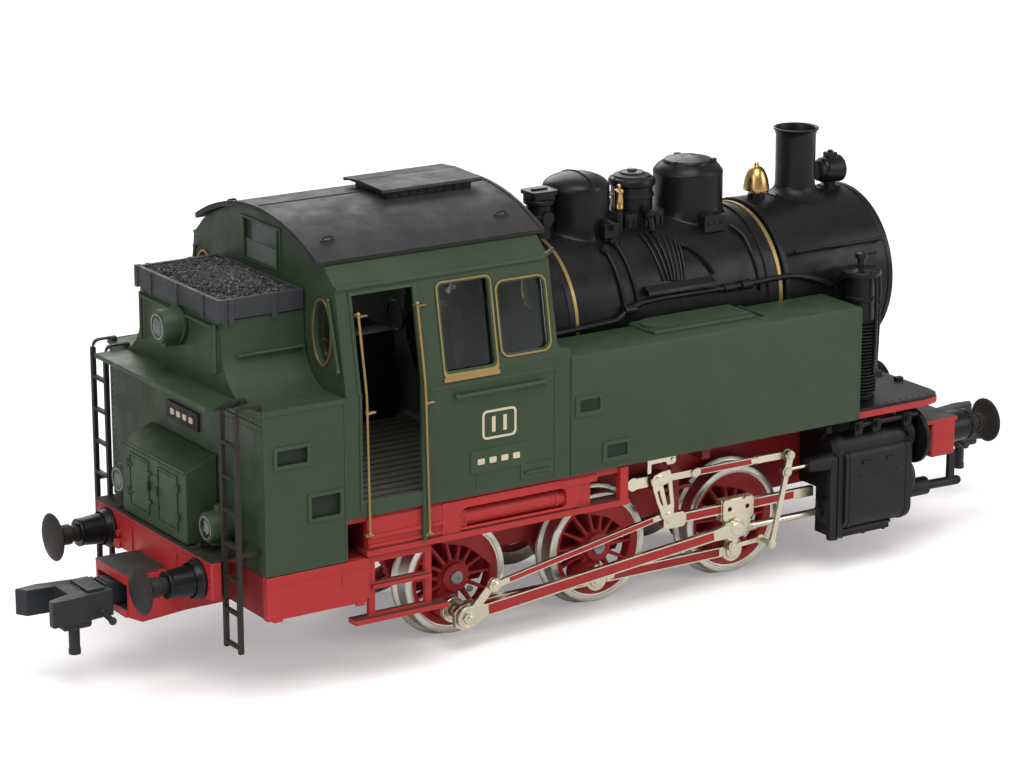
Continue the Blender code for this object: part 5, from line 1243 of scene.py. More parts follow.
b.box(-41.0, -37.6, -18.0, 18.0, 100.0, 101.6)
b.lathe([(0, 0), (6.6, 0), (6.8, 1.2), (6.0, 1.8), (0, 2.1)], (-38.6, 0, 72.6), (-1, 0, 0), 36)
for i in range(14):
    t = 2 * pi * i / 14
    b.rivet((-38.7, 19.0 * math.cos(t), 84.3 + 19.0 * math.sin(t)), (-1, 0, 0), 0.6, 0.5)
b.use(NICKEL)
for y, z in ((-14.5, 101.0), (-7.0, 104.5), (6.0, 104.0)):
    b.lathe([(0, 0), (2.3, 0), (2.3, 1.3), (1.9, 1.5), (0, 1.2)], (-43.5, y, z), (-1, 0, 0.05), 24)
b.use(BRASS)
b.rod((-43.0, -2.0, 84.0), (-43.0, -2.0, 96.0), 0.5)
b.rod((-43.0, 2.0, 84.0), (-43.0, 2.0, 96.0), 0.5)
b.use(RED_DARK)
b.ball((-50.0, -21.0, 98.0), 1.2, 8)
b.done("cab_interior", "engine_frame", (), bevel=0.12)

# roof sheet with its rolled edges, centre seam and lifting eyes
b = Build()
b.use(ROOF)


def roof_arc(radius, half, n=56):
    a = math.asin(half / radius)
    return [(radius * math.sin(a - 2 * a * i / n), 55.3 + radius * math.cos(a - 2 * a * i / n)) for i in range(n + 1)]


b.prism([roof_arc(73.45, 35.2) + list(reversed(roof_arc(72.35, 35.0)))], -99.95, -25.45, "X")
for x in (-99.7, -26.4):
    b.prism([roof_arc(73.75, 35.3) + list(reversed(roof_arc(73.3, 35.2)))], x - 0.25, x + 0.75, "X")
b.box(-99.6, -25.6, -0.14, 0.14, 128.5, 128.98)
for px, py in ((-92.0, 27.5), (-35.0, 27.5)):
    for s in (-1, 1):
        pz = 55.3 + math.sqrt(73.5 ** 2 - py ** 2)
        b.box(px - 2.2, px + 2.2, s * py - 0.5, s * py + 0.5, pz - 0.6, pz + 0.35)
        b.pipe([(px - 1.6, s * py, pz + 0.1), (px - 1.2, s * py, pz + 1.1), (px + 1.2, s * py, pz + 1.1), (px + 1.6, s * py, pz + 0.1)], 0.33, 8)
b.done("cab_roof_looks", "engine_frame", ("cab_roof",), bevel=0.15)

b = Build()
b.use(ROOF)
b.prism([[(-9.2, 126.6), (9.2, 126.6), (9.2, 130.6), (-9.2, 130.6)]], -61.5, -33.6, "X")
b.prism([[(-11.4, 130.3), (-11.2, 129.9), (-10.4, 129.9), (-9.0, 130.4), (9.0, 130.4), (10.4, 129.9), (11.2, 129.9), (11.4, 130.3),
          (11.2, 130.9), (3.4, 131.5), (3.2, 131.25), (3.0, 131.5), (-11.0, 131.0)]], -64.3, -30.8, "X")
b.box(-62.3, -32.8, -9.9, 9.9, 126.4, 127.4)
for s in (-1, 1):
    for i in range(9):
        x = -59.5 + 24.0 * i / 8
        b.box(x - 1.0, x + 1.0, s * 9.1, s * 9.5, 127.9, 129.7)
b.done("roof_ventilator_looks", "engine_frame", ("roof_ventilator",), bevel=0.18)

# bunker with rivets, pockets, lamps and rails
skin("rear_bunker", "engine_frame", GREEN, 0.28)
b = Build()
for s in (-1, 1):
    for x0, x1, z0, z1 in ((-119.7, -109.8, 67.4, 72.1), (-109.2, -99.7, 50.7, 57.3)):
        b.use(GREEN_LIP)
        b.prism([roundrect(x0 - 0.9, x1 + 0.9, z0 - 0.9, z1 + 0.9, 0.5), roundrect(x0 + 0.2, x1 - 0.2, z0 + 0.2, z1 - 0.2, 0.3)],
                s * 45.9, s * 46.35)
        # darker panel at the back of the pocket: painted shade of the recess
        b.use(GREEN_PAINTED_SHADE).box(x0, x1, s * 45.0, s * 45.25, z0, z1)
    b.use(GREEN_LIP)
    b.rivets((-123.5, s * 3.0, 80.6), (-123.5, s * 44.5, 80.6), 22, (-1, 0, 0), 0.3, 0.25)
    b.rivets((-123.5, s * 3.0, 77.4), (-123.5, s * 44.5, 77.4), 22, (-1, 0, 0), 0.3, 0.25)
    b.rivets((-123.5, s * 44.8, 42.0), (-123.5, s * 44.8, 76.0), 18, (-1, 0, 0), 0.3, 0.25)
    b.box(-123.75, -123.45, s * 1.0, s * 45.6, 78.8, 79.2)
    b.prism([[(-123.9, 82.1), (-97.95, 82.1), (-97.95, 83.6), (-123.9, 83.6)]], s * 45.7, s * 46.2)
    b.box(-98.3, -97.7, s * 45.6, s * 46.15, 37.0, 83.2)
    # grab rails on the upper body
    b.rod((-118.9, s * 25.6, 94.0), (-99.0, s * 25.6, 94.0), 0.5, n=14)
    for x in (-118.0, -99.9):
        b.rod((x, s * 24.0, 94.0), (x, s * 25.6, 94.0), 0.45)
    b.rod((-124.9, s * 22.2, 89.6), (-124.9, s * 22.2, 103.0), 0.5, n=14)
    b.rod((-124.0, s * 22.2, 101.8), (-125.0, s * 22.2, 101.8), 0.45)
    b.rod((-124.9, s * 5.4, 101.8), (-124.9, s * 21.6, 101.8), 0.45, n=14)
    # lower lamps
    b.use(GREEN)
    b.lathe([(4.35, 0.2), (4.45, 0.6), (4.45, 5.6), (4.2, 6.1), (3.6, 6.3), (3.3, 6.2), (3.3, 5.0)], (-125.5, s * 26.7, 47.1), (-1, 0, 0), 40)
    b.rod((-127.6, s * 26.7, 50.8), (-127.6, s * 26.7, 53.2), 1.5, 1.1)
    b.box(-130.2, -124.5, s * 25.0, s * 28.4, 42.0, 43.4)
    b.use(STEEL).ringsolid(3.0, 3.35, 5.5, 6.3, (-125.5, s * 26.7, 47.1), (-1, 0, 0), 36)
    b.use(LENS_DARK).lathe([(0, 3.9), (1.5, 4.2), (2.5, 5.0), (3.05, 5.9)], (-125.5, s * 26.7, 47.1), (-1, 0, 0), 36)
    b.use(BLACK_DEEP).ball((-130.0, s * 26.7, 47.1), 0.7, 8)
    b.use(GREEN_LIP)
    b.ball((-118.9, s * 25.6, 94.0), 0.62, 8)
    b.ball((-124.9, s * 22.2, 89.6), 0.62, 8)
b.use(GREEN)
b.lathe([(4.6, 0.2), (4.85, 0.4), (4.85, 5.6), (4.6, 6.2), (4.0, 6.6), (3.6, 6.6), (3.6, 5.4)], (-124.6, 0, 98.4), (-1, 0, 0), 44)
b.lathe([(4.8, 0.0), (5.3, 0.0), (5.3, 0.8), (4.8, 1.0)], (-124.6, 0, 98.4), (-1, 0, 0), 44)
b.box(-129.6, -124.0, -1.8, 1.8, 92.6, 94.2)
b.use(STEEL).ringsolid(3.25, 3.6, 5.9, 6.65, (-124.6, 0, 98.4), (-1, 0, 0), 40)
b.use(LENS_DARK).lathe([(0, 3.9), (1.6, 4.2), (2.6, 5.1), (3.3, 6.2)], (-124.6, 0, 98.4), (-1, 0, 0), 40)
b.use(BLACK_DEEP).ball((-129.2, 0, 98.4), 0.8, 8)
b.use(GREEN_LIP)
b.prism([[(-33.4, 83.3), (33.4, 83.3), (33.4, 83.65), (-33.4, 83.65)]], -134.35, -133.9, "X")
b.done("bunker_trim", "engine_frame", (), bevel=0.10)

b = Build()
b.use(GLASS)
for s in (-1, 1):
    b.lathe([(0, 6.35), (1.8, 6.25), (3.05, 6.05), (3.05, 5.9), (1.8, 6.0), (0, 6.1)], (-125.5, s * 26.7, 47.1), (-1, 0, 0), 32)
b.lathe([(0, 6.8), (1.9, 6.7), (3.3, 6.4), (3.3, 6.25), (1.9, 6.45), (0, 6.55)], (-124.6, 0, 98.4), (-1, 0, 0), 32)
b.done("lamp_lenses", "engine_frame", (), bevel=0)

# toolbox: two doors, hinges, latches, riveted lid edge
skin("toolbox", "engine_frame", GREEN, 0.35)
b = Build()
b.use(GREEN_LIP)
for s in (-1, 1):
    yc = s * 8.6
    b.prism([roundrect(yc - 5.9, yc + 5.9, 43.0, 59.0, 0.4), roundrect(yc - 5.4, yc + 5.4, 43.5, 58.5, 0.3)], -133.6, -134.05, "X")
    b.prism([roundrect(yc - 5.0, yc + 5.0, 43.9, 58.1, 0.3)], -133.5, -133.85, "X")
    for z in (47.2, 55.6):
        b.rod((-134.1, yc + s * 6.5, z - 1.1), (-134.1, yc + s * 6.5, z + 1.1), 0.5)
        b.box(-134.2, -133.7, yc + s * 4.2, yc + s * 6.6, z - 0.35, z + 0.35)
        b.box(-134.3, -133.7, yc - s * 5.2, yc - s * 7.4, z - 0.5, z + 0.5)
    b.rod((-134.3, yc - s * 5.9, 50.4), (-134.3, yc - s * 5.9, 53.0), 0.45)
b.rivets((-133.75, -18.4, 60.5), (-133.75, 18.4, 60.5), 27, (-1, 0, 0.1), 0.26, 0.25)
b.box(-134.0, -133.5, -19.5, 19.5, 61.0, 61.5)
b.done("toolbox_details", "engine_frame", (), bevel=0.08)

# coal boards with straps
b = Build()
b.use(SLATE)


def splay(x, y, z):
    k = (z - 104.3) / 5.9
    return (x + (-0.0 if x > -110 else -0.0) * k, y, z)


b.prism([[(-124.85, -24.55), (-98.25, -24.55), (-98.25, 24.55), (-124.85, 24.55)],
         [(-123.6, -23.3), (-99.5, -23.3), (-99.5, 23.3), (-123.6, 23.3)]], 104.35, 110.1, "Z")
for z in (106.2, 108.1):
    b.box(-124.95, -124.8, -24.5, 24.5, z - 0.08, z + 0.08)
for s in (-1, 1):
    for y in (15.6, 0.0):
        if y or s > 0:
            b.box(-125.3, -124.8, s * y - 0.75, s * y + 0.75, 103.6, 110.2)
    for x in (-121.0, -107.5):
        b.box(x - 0.75, x + 0.75, s * 24.5, s * 25.0, 103.2, 110.2)
    b.box(-125.25, -123.4, s * 23.3, s * 25.0, 104.0, 110.25)
    b.prism([[(-124.0, 104.4), (-121.8, 104.4), (-122.4, 102.6), (-123.4, 102.2)]], s * 23.6, s * 24.5)
b.done("coal_box_looks", "engine_frame", ("coal_box",), bevel=0.14)

# coal: a heaped bed carrying many small lumps
rnd = random.Random(417)
b = Build()
b.use(COAL)


def heap(x, y):
    u, w = (x + 111.5) / 12.2, y / 23.4
    h = 109.5 + 1.9 * max(0.0, 1 - u ** 4) * max(0.0, 1 - w ** 4)
    return h + 0.25 * math.sin(x * 1.7 + y * 0.6) + 0.2 * math.cos(y * 1.3 - x * 0.5)


nx, ny = 26, 50
grid = [(-123.5 + 23.9 * i / nx, -23.2 + 46.4 * j / ny) for j in range(ny + 1) for i in range(nx + 1)]
b.put([(x, y, heap(x, y) - 0.7) for x, y in grid],
      [(j * (nx + 1) + i, j * (nx + 1) + i + 1, (j + 1) * (nx + 1) + i + 1, (j + 1) * (nx + 1) + i)
       for j in range(ny) for i in range(nx)])
shape = [(-1, -0.7, -0.5), (1, -0.6, -0.6), (0.9, 0.8, -0.5), (-0.8, 0.9, -0.6), (-0.7, -0.8, 0.5), (0.8, -0.5, 0.7),
         (0.6, 0.7, 0.6), (-0.9, 0.5, 0.5)]
cube = [(0, 3, 2, 1), (4, 5, 6, 7), (0, 1, 5, 4), (1, 2, 6, 5), (2, 3, 7, 6), (3, 0, 4, 7)]
for i in range(3800):
    x, y = rnd.uniform(-123.2, -99.9), rnd.uniform(-22.95, 22.95)
    r = rnd.choice((0.26, 0.34, 0.42, 0.52)) * rnd.uniform(0.8, 1.15)
    turn = Matrix.Rotation(rnd.uniform(0, 6.3), 3, "Z") @ Matrix.Rotation(rnd.uniform(-0.9, 0.9), 3, "X") @ Matrix.Rotation(
        rnd.uniform(-0.9, 0.9), 3, "Y")
    c = Vector((x, y, min(110.9, heap(x, y) - 0.55 + rnd.uniform(0, 0.35))))
    b.put([c + turn @ Vector((p[0] * r * rnd.uniform(0.7, 1.15), p[1] * r * rnd.uniform(0.7, 1.15), p[2] * r * rnd.uniform(0.7, 1.1)))
           for p in shape], cube)
coal = b.done("coal_load_looks", "engine_frame", ("coal_load",), bevel=0, sharp=5)


# ======================================================================
# boiler, smokebox and their fittings
# ======================================================================
CZ = 84.3


def on_round(x, ang, r):
    """Point on a circle round the boiler axis; ang from straight up, positive towards -Y."""
    return (x, -r * math.sin(deg(ang)), CZ + r * math.cos(deg(ang)))


b = Build()
b.use(BLACK)
b.lathe([(0, -36.0), (24.6, -36.0), (24.7, -35.6), (24.7, 68.8), (22.7, 68.8), (22.7, -33.0), (0, -33.0)], (0, 0, CZ), (1, 0, 0), 120)
for x0 in (-8.2, 31.5):
    b.lathe([(24.6, x0 - 1.4), (24.95, x0 - 1.2), (24.95, x0 + 1.2), (24.6, x0 + 1.4)], (0, 0, CZ), (1, 0, 0), 120)
b.lathe([(24.6, 62.4), (25.35, 62.8), (25.35, 64.6), (24.6, 65.0)], (0, 0, CZ), (1, 0, 0), 120)
b.use(BRASS_PAINT)
for x0, w in ((-6.9, 0.55), (67.6, 0.6)):
    b.lathe([(24.6, x0 - w - 0.1), (25.05, x0 - w), (25.05, x0 + w), (24.6, x0 + w + 0.1)], (0, 0, CZ), (1, 0, 0), 120)
b.done("boiler_looks", "engine_frame", ("boiler",), bevel=0.06)

b = Build()
b.use(BLACK)
b.lathe([(0, 69.2), (25.3, 69.2), (25.75, 69.5), (25.75, 71.0), (25.6, 71.3), (25.6, 108.4), (25.95, 108.7), (25.95, 110.3),
         (25.5, 110.5), (23.5, 110.5), (23.5, 72.0), (0, 72.0)], (0, 0, CZ), (1, 0, 0), 120)
b.prism([[(-14.5, 51.4), (14.5, 51.4), (17.5, 60.0), (21.0, 68.5), (0, 60.0), (-21.0, 68.5), (-17.5, 60.0)]], 84.0, 107.0, "X")
for i in range(44):
    a = 360.0 * i / 44
    for x0 in (70.4, 109.4):
        b.rivet(on_round(x0, a, 25.75), Vector(on_round(0, a, 1)) - Vector((0, 0, CZ)), 0.32, 0.24)
# handrail on the smokebox side with stanchions, both sides
for s in (1, -1):
    pts = [on_round(x, 61 * s, 27.2) for x in (73.5, 107.6)]
    b.pipe(pts, 0.48, 12)
    for x in (75.0, 90.5, 106.4):
        b.rod(on_round(x, 61 * s, 25.4), on_round(x, 61 * s, 27.2), 0.55)
        b.ball(on_round(x, 61 * s, 27.2), 0.8, 8)
    # long pipe along the barrel into the pump, with its couplings
    run = ((-24.0, 88.6), (-14.7, 88.1), (-3.8, 87.0), (7.0, 86.0), (10.4, 80.5), (15.5, 77.1), (24.0, 76.2), (43.4, 76.8), (53.3, 76.7),
           (64.5, 75.6), (72.2, 75.9), (81.5, 81.5), (87.7, 88.0))
    b.pipe([on_round(x, a * s, 26.0) for x, a in run], 0.9, 14, 4)
    for x, a in ((-6, 87.3), (34, 76.6)):
        b.rod(on_round(x, a * s, 24.2), on_round(x, a * s, 26.0), 0.8)
    for xa, xb, a, r in ((9.0, 13.0, 80.5, 1.5), (45.5, 49.5, 76.8, 1.35), (52.0, 55.5, 76.7, 1.55)):
        b.rod(on_round(xa, a * s, 26.0), on_round(xb, a * s, 26.0), r, n=18)
b.done("smokebox_looks", "engine_frame", ("smokebox",), bevel=0.10)

b = Build()
b.use(BLACK)
for s in (1, -1):
    # sand pipes fanning down the barrel
    for i, (xa, aa, xb, ab) in enumerate(((24.9, 26, 25.4, 65), (27.2, 26, 27.0, 65.5), (29.5, 27, 28.3, 66), (31.8, 29, 29.3, 66.5),
                                          (33.6, 31, 30.5, 66.5), (34.8, 35, 31.8, 67), (35.6, 39, 33.0, 67.5))):
        pts = [on_round(xa + (xb - xa) * k / 9, (aa + (ab - aa) * k / 9) * s, 25.05) for k in range(10)]
        b.pipe(pts, 0.42, 8, 0)
    # two clack pipes by the steam dome
    for xa, aa, xb, ab in ((9.6, 36, 9.9, 78), (14.2, 30, 15.0, 80)):
        pts = [on_round(xa + (xb - xa) * k / 9, (aa + (ab - aa) * k / 9) * s, 25.3) for k in range(10)]
        b.pipe(pts, 0.62, 10, 0)
        b.lathe([(0, 0), (1.7, 0), (1.7, 1.2), (1.1, 2.0), (0, 2.2)], on_round(xa, aa * s, 24.7),
                Vector(on_round(0, aa * s, 1)) - Vector((0, 0, CZ)), 20)
    # walkway plate along the barrel above the tank, on brackets
    n1 = [on_round(0, a * s, r) for a, r in ((67.0, 24.8), (67.0, 25.9), (71.5, 27.6), (73.5, 27.7), (73.5, 26.8), (70.0, 24.9))]
    poly = [(p[1], p[2]) for p in n1]
    b.prism([poly], 17.6, 42.4, "X")
    for x in (20.0, 30.0, 40.0):
        b.rod(on_round(x, 72 * s, 24.4), on_round(x, 71 * s, 26.6), 0.7)
    # reach rod with small lever
    b.pipe([on_round(36.9, 41 * s, 25.6), on_round(41.7, 55 * s, 25.8), on_round(43.6, 66 * s, 25.6)], 0.5, 10)
    b.lathe([(0, 0), (1.3, 0), (1.3, 1.0), (0, 1.3)], on_round(36.9, 41 * s, 24.7), Vector(on_round(0, 41 * s, 1)) - Vector((0, 0, CZ)), 18)
    # sand trap boxes and pipes under the sand dome
    b.pipe([on_round(56.5, 32 * s, 25.6), on_round(59.0, 41 * s, 25.6), on_round(59.6, 60 * s, 25.4), on_round(60.0, 82 * s, 25.4)], 0.62, 10, 3)
    c = on_round(50.2, 27 * s, 27.0)
    b.box(46.4, 54.0, c[1] - 2.0, c[1] + 2.0, c[2] - 3.4, c[2] + 1.6)
    for x in (48.0, 50.2, 52.4):
        b.rivet((x, c[1] - 2.0 * s, c[2] - 0.6), (0, -s, 0), 0.6, 0.5)
    # steam tap by the first dome
    b.rod((13.2, -s * 9.0, 111.6), (13.2, -s * 13.4, 110.6), 1.5, n=18)
    b.box(10.6, 15.8, -s * 11.0, -s * 13.2, 107.6, 111.6)
    b.rod((13.2, -s * 13.4, 110.6), (13.2, -s * 15.0, 110.6), 0.7)
b.done("boiler_pipework", "engine_frame", (), bevel=0.10)


def saddle(b, at_x, r_top, r_foot, z_top, R, n=72, m=7, y0=0.0):
    """Skirt easing a round fitting onto the barrel, following the barrel's curve."""
    v, rows = [], []
    for k in range(m + 1):
        t = k / m
        rr = r_top + (r_foot - r_top) * (1 - math.cos(t * pi / 2))
        row = []
        for i in range(n):
            a = 2 * pi * i / n
            x, y = at_x + rr * math.cos(a), y0 + rr * math.sin(a)
            zb = CZ + math.sqrt(max(1.0, R * R - y * y)) + 0.15
            z = z_top + (zb - z_top) * math.sin(t * pi / 2)
            row.append(len(v))
            v.append((x, y, z))
        rows.append(row)
    row = []
    for i in range(n):
        a = 2 * pi * i / n
        x, y = at_x + r_foot * 0.99 * math.cos(a), y0 + r_foot * 0.99 * math.sin(a)
        row.append(len(v))
        v.append((x, y, CZ + math.sqrt(max(1.0, R * R - y * y)) - 0.5))
    rows.append(row)
    f = []
    for a, c in zip(rows, rows[1:]):
        for i in range(n):
            j = (i + 1) % n
            f.append((a[i], a[j], c[j], c[i]))
    return b.put(v, f)


# steam dome: rolled crown with its seam
b = Build()
b.use(BLACK)
r = 10.1
crown = [(r * math.sin(pi / 2 * i / 12), 121.2 + 4.6 * math.cos(pi / 2 * i / 12)) for i in range(13)]
crown[0] = (0, 125.8)
b.lathe(crown + [(r, 119.0), (r, 112.0)], (9.1, 0, 0), (0, 0, 1), 72)
saddle(b, 9.1, r, 11.2, 112.2, 24.7)
b.pipe([(9.1, r * 1.0 * math.cos(pi * i / 18), 121.3 + 4.65 * math.sin(pi * i / 18)) for i in range(19)], 0.22, 8, 0)
b.done("steam_dome_looks", "engine_frame", ("steam_dome",), bevel=0.10)

# sand dome: flat-topped lid set in, hinge bumps, rim
b = Build()
b.use(BLACK)
r = 10.65
b.lathe([(0, 126.0), (4.0, 125.8), (7.2, 125.0), (7.6, 124.5), (7.7, 123.9), (8.4, 124.0), (9.6, 123.1), (r, 121.6), (r + 0.1, 121.1),
         (r, 120.6), (r, 112.2)], (50.2, 0, 0), (0, 0, 1), 72)
saddle(b, 50.2, r, 11.5, 112.4, 24.7)
for a in (200, 320, 80):
    x, y = 50.2 + 7.6 * math.cos(deg(a)), 7.6 * math.sin(deg(a))
    b.box(x - 0.9, x + 0.9, y - 0.7, y + 0.7, 123.6, 125.3)
b.rod((47.6, 0, 125.6), (52.8, 0, 125.6), 0.4)
for i in range(20):
    a = 2 * pi * i / 20
    b.rivet((50.2 + 9.2 * math.cos(a), 9.2 * math.sin(a), 123.3), (math.cos(a) * 0.4, math.sin(a) * 0.4, 1), 0.3, 0.2)
b.done("sand_dome_looks", "engine_frame", ("sand_dome",), bevel=0.10)

# feed dome: stepped conical lid, square ribbed base with side clacks
b = Build()
b.use(BLACK)
b.lathe([(0, 124.4), (1.3, 124.3), (1.5, 123.7), (3.7, 123.5), (3.9, 123.0), (5.6, 122.6), (5.8, 122.1), (6.8, 121.7), (7.15, 121.1),
         (7.15, 119.9), (6.9, 119.6), (6.35, 119.4), (6.35, 117.2), (6.75, 117.0), (6.75, 116.2), (6.35, 116.0), (6.35, 110.0)],
        (29.4, 0, 0), (0, 0, 1), 64)
for i in range(10):
    a = 2 * pi * i / 10
    b.hexnut((29.4 + 6.2 * math.cos(a), 6.2 * math.sin(a), 121.6), (0, 0, 1), 0.5, 0.4, False)
b.prism([roundrect(22.3, 36.5, -7.3, 7.3, 1.2)], 107.0, 110.6, "Z")
b.prism([roundrect(22.0, 36.8, -7.45, 7.45, 1.2)], 110.6, 112.2, "Z")
for y in (-7.4, 7.4):
    for i in range(7):
        x = 23.4 + 12.0 * i / 6
        b.box(x - 0.4, x + 0.4, y - 0.35, y + 0.35, 106.4, 110.6)
for s in (-1, 1):
    b.rod((29.4, s * 7.0, 112.6), (29.4, s * 9.8, 111.8), 1.7, n=20)
    b.rod((29.4, s * 9.6, 111.9), (29.4, s * 11.0, 107.2), 1.0, n=16)
    b.hexnut((29.4, s * 9.8, 111.9), (0, s, -0.25), 1.9, 0.6, True)
b.done("feed_dome_looks", "engine_frame", ("feed_dome",), bevel=0.10)

# safety valve: flat-lidded boxy head on a flanged barrel
b = Build()
b.use(BLACK)
cx, cy = -5.6, -2.5
b.prism([roundrect(cx - 4.5, cx + 4.5, cy - 3.9, cy + 3.9, 1.0)], 121.4, 122.6, "Z")
b.prism([roundrect(cx - 3.9, cx + 3.9, cy - 3.4, cy + 3.4, 0.9)], 119.6, 121.5, "Z")
b.prism([roundrect(cx - 2.6, cx + 2.6, cy - 0.8, cy + 0.8, 0.3)], 122.6, 123.1, "Z")
b.lathe([(4.6, 0), (4.8, 0.3), (4.8, 1.1), (4.3, 1.4), (4.0, 1.6), (4.0, 4.4), (4.5, 4.8), (4.5, 5.6), (4.1, 5.9), (4.1, 12.0)][::-1],
        (cx, cy, 119.8), (0, 0, -1), 40)
for i in range(8):
    a = 2 * pi * i / 8
    b.hexnut((cx + 3.9 * math.cos(a), cy + 3.9 * math.sin(a), 119.2), (0, 0, 1), 0.45, 0.5, False)
b.rod((cx, cy, 114.6), (cx, cy - 5.0, 114.6), 1.6, n=20)
b.lathe([(0, 0), (2.0, 0), (2.0, 0.7), (0, 0.8)], (cx, cy - 4.4, 114.6), (0, -1, 0), 24)
b.done("safety_valve_looks", "engine_frame", ("safety_valve",), bevel=0.10)

# whistle and bell in brass
b = Build()
b.use(BRASS)
b.lathe([(0, 122.0), (0.45, 121.95), (0.7, 121.6), (0.65, 121.1), (0.45, 120.9), (0.5, 120.6), (1.35, 120.4), (1.5, 120.1), (1.5, 119.6),
         (1.4, 119.4), (1.4, 115.4), (1.5, 115.2), (1.5, 114.7), (1.2, 114.4)], (19.6, -7.4, 0), (0, 0, 1), 40)
b.use(BLACK)
b.lathe([(0, 114.5), (1.25, 114.5), (1.3, 114.0), (0.95, 113.6), (1.25, 113.0), (1.25, 106.0)], (19.6, -7.4, 0), (0, 0, 1), 32)
b.done("whistle_looks", "engine_frame", ("whistle",), bevel=0.05)
b = Build()
b.use(BRASS)
b.lathe([(0, 120.75), (0.45, 120.7), (0.75, 120.3), (0.7, 119.8), (0.9, 119.5), (1.6, 119.2), (2.3, 118.5), (2.9, 117.5), (3.4, 116.2),
         (3.75, 114.8), (3.95, 113.6), (4.1, 112.7), (4.05, 112.2), (3.6, 112.0), (0.8, 112.2)], (76.3, 0, 0), (0, 0, 1), 56)
b.lathe([(1.3, 112.4), (1.5, 111.6), (1.5, 110.8)], (76.3, 0, 0), (0, 0, 1), 32)
b.use(BLACK)
b.lathe([(0, 111.2), (1.6, 111.2), (2.6, 111.0), (2.8, 110.2), (2.8, 108.6)], (76.3, 0, 0), (0, 0, 1), 40)
b.done("bell_looks", "engine_frame", ("bell",), bevel=0.05)

# chimney: rolled lip, bead, flared foot
b = Build()
b.use(BLACK)
b.lathe([(5.6, 112.8), (5.7, 128.6), (6.1, 129.9), (6.6, 130.2), (7.05, 130.1), (7.1, 129.7), (6.9, 129.4), (6.5, 128.9), (6.25, 127.6),
         (6.2, 113.2), (6.3, 112.2)], (91.3, 0, 0), (0, 0, 1), 72)
b.use(BLACK_DEEP).lathe([(0, 116.0), (5.65, 116.0)], (91.3, 0, 0), (0, 0, 1), 48)
b.use(BLACK)
saddle(b, 91.3, 6.3, 9.8, 112.3, 25.7, m=9)
for i in range(12):
    a = 2 * pi * (i + 0.5) / 12
    x, y = 91.3 + 9.1 * math.cos(a), 9.1 * math.sin(a)
    b.rivet((x, y, CZ + math.sqrt(25.7 ** 2 - y * y) + 0.35), (0, y * 0.04, 1), 0.4, 0.35)
b.done("chimney_looks", "engine_frame", ("chimney",), bevel=0.05)

# upper headlamp with its bracket and box
b = Build()
b.use(BLACK)
b.lathe([(0, 99.6), (2.8, 99.7), (3.3, 100.2), (3.3, 101.0), (3.7, 101.3), (4.0, 101.9), (4.1, 102.6), (4.1, 107.6), (4.25, 107.7), (4.25, 108.4), (3.9, 108.6),
         (3.5, 108.4), (3.4, 107.6)], (0, 0, 115.2), (1, 0, 0), 48)
b.box(103.6, 106.4, -1.3, 1.3, 109.6, 112.2)
b.box(102.4, 107.4, -2.6, 2.6, 109.2, 110.2)
b.box(103.4, 106.6, -1.6, 1.6, 118.6, 120.6)
b.rod((105.0, 0, 120.4), (105.0, 0, 121.3), 0.8)
for i in range(6):
    a = 2 * pi * i / 6
    b.rod((102.0, 2.6 * math.cos(a), 115.2 + 2.6 * math.sin(a)), (101.2, 2.6 * math.cos(a), 115.2 + 2.6 * math.sin(a)), 0.4)
b.use(LENS_DARK).lathe([(0, 107.0), (2.2, 107.3), (3.5, 108.0)], (0, 0, 115.2), (1, 0, 0), 40)
b.use(STEEL).ringsolid(3.2, 3.8, 108.0, 108.45, (0, 0, 115.2), (1, 0, 0), 40)
b.done("headlamp_looks", "engine_frame", ("headlamp",), bevel=0.08)

# smokebox door: dished, ring of dogs, hinge straps, wheel and handle
b = Build()
b.use(BLACK)
b.lathe([(0, 4.6), (6.0, 4.3), (13.0, 3.25), (18.6, 1.7), (20.0, 1.5), (20.6, 1.2), (22.2, 1.1), (22.4, 0.8), (22.4, 0.0), (0, 0.0)],
        (110.8, 0, CZ), (1, 0, 0), 96)
for i in range(12):
    a = 2 * pi * (i + 0.5) / 12
    y, z = 21.4 * math.cos(a), CZ + 21.4 * math.sin(a)
    b.T = Matrix.Translation((111.9, y, z)) @ Matrix.Rotation(a, 4, "X")
    b.box(0, 0.8, -1.7, 1.4, -0.55, 0.55)
    b.T = None
    b.hexnut((112.6, y, z), (1, 0, 0), 0.5, 0.3, False)
for z in (79.8, 88.8):
    b.prism([[(24.9, z - 0.9), (4.0, z - 0.6), (3.2, z), (4.0, z + 0.6), (24.9, z + 0.9)]], 111.0, 113.0, "X")
    b.rod((112.0, 24.2, z - 1.3), (112.0, 24.2, z + 1.3), 0.9, n=16)
b.rod((114.8, 0, CZ), (118.7, 0, CZ), 1.1, n=24)
b.lathe([(0, 0), (2.3, 0), (2.3, 0.6), (0, 0.8)], (115.0, 0, CZ), (1, 0, 0), 32)
b.T = Matrix.Translation((0, 0, 0))
b.use(NICKEL)
b.rod((118.0, 0, CZ - 5.0), (118.0, 0, CZ + 5.0), 0.5)
b.ball((118.0, 0, CZ + 5.0), 0.8, 8)
b.ball((118.0, 0, CZ - 5.0), 0.8, 8)
b.T = None
b.use(BLACK)
b.rod((112.2, -16.0, CZ - 9.0), (112.2, -16.0, CZ + 9.0), 0.5)
b.done("smokebox_door_looks", "smokebox_door", ("smokebox_door",), bevel=0.08)

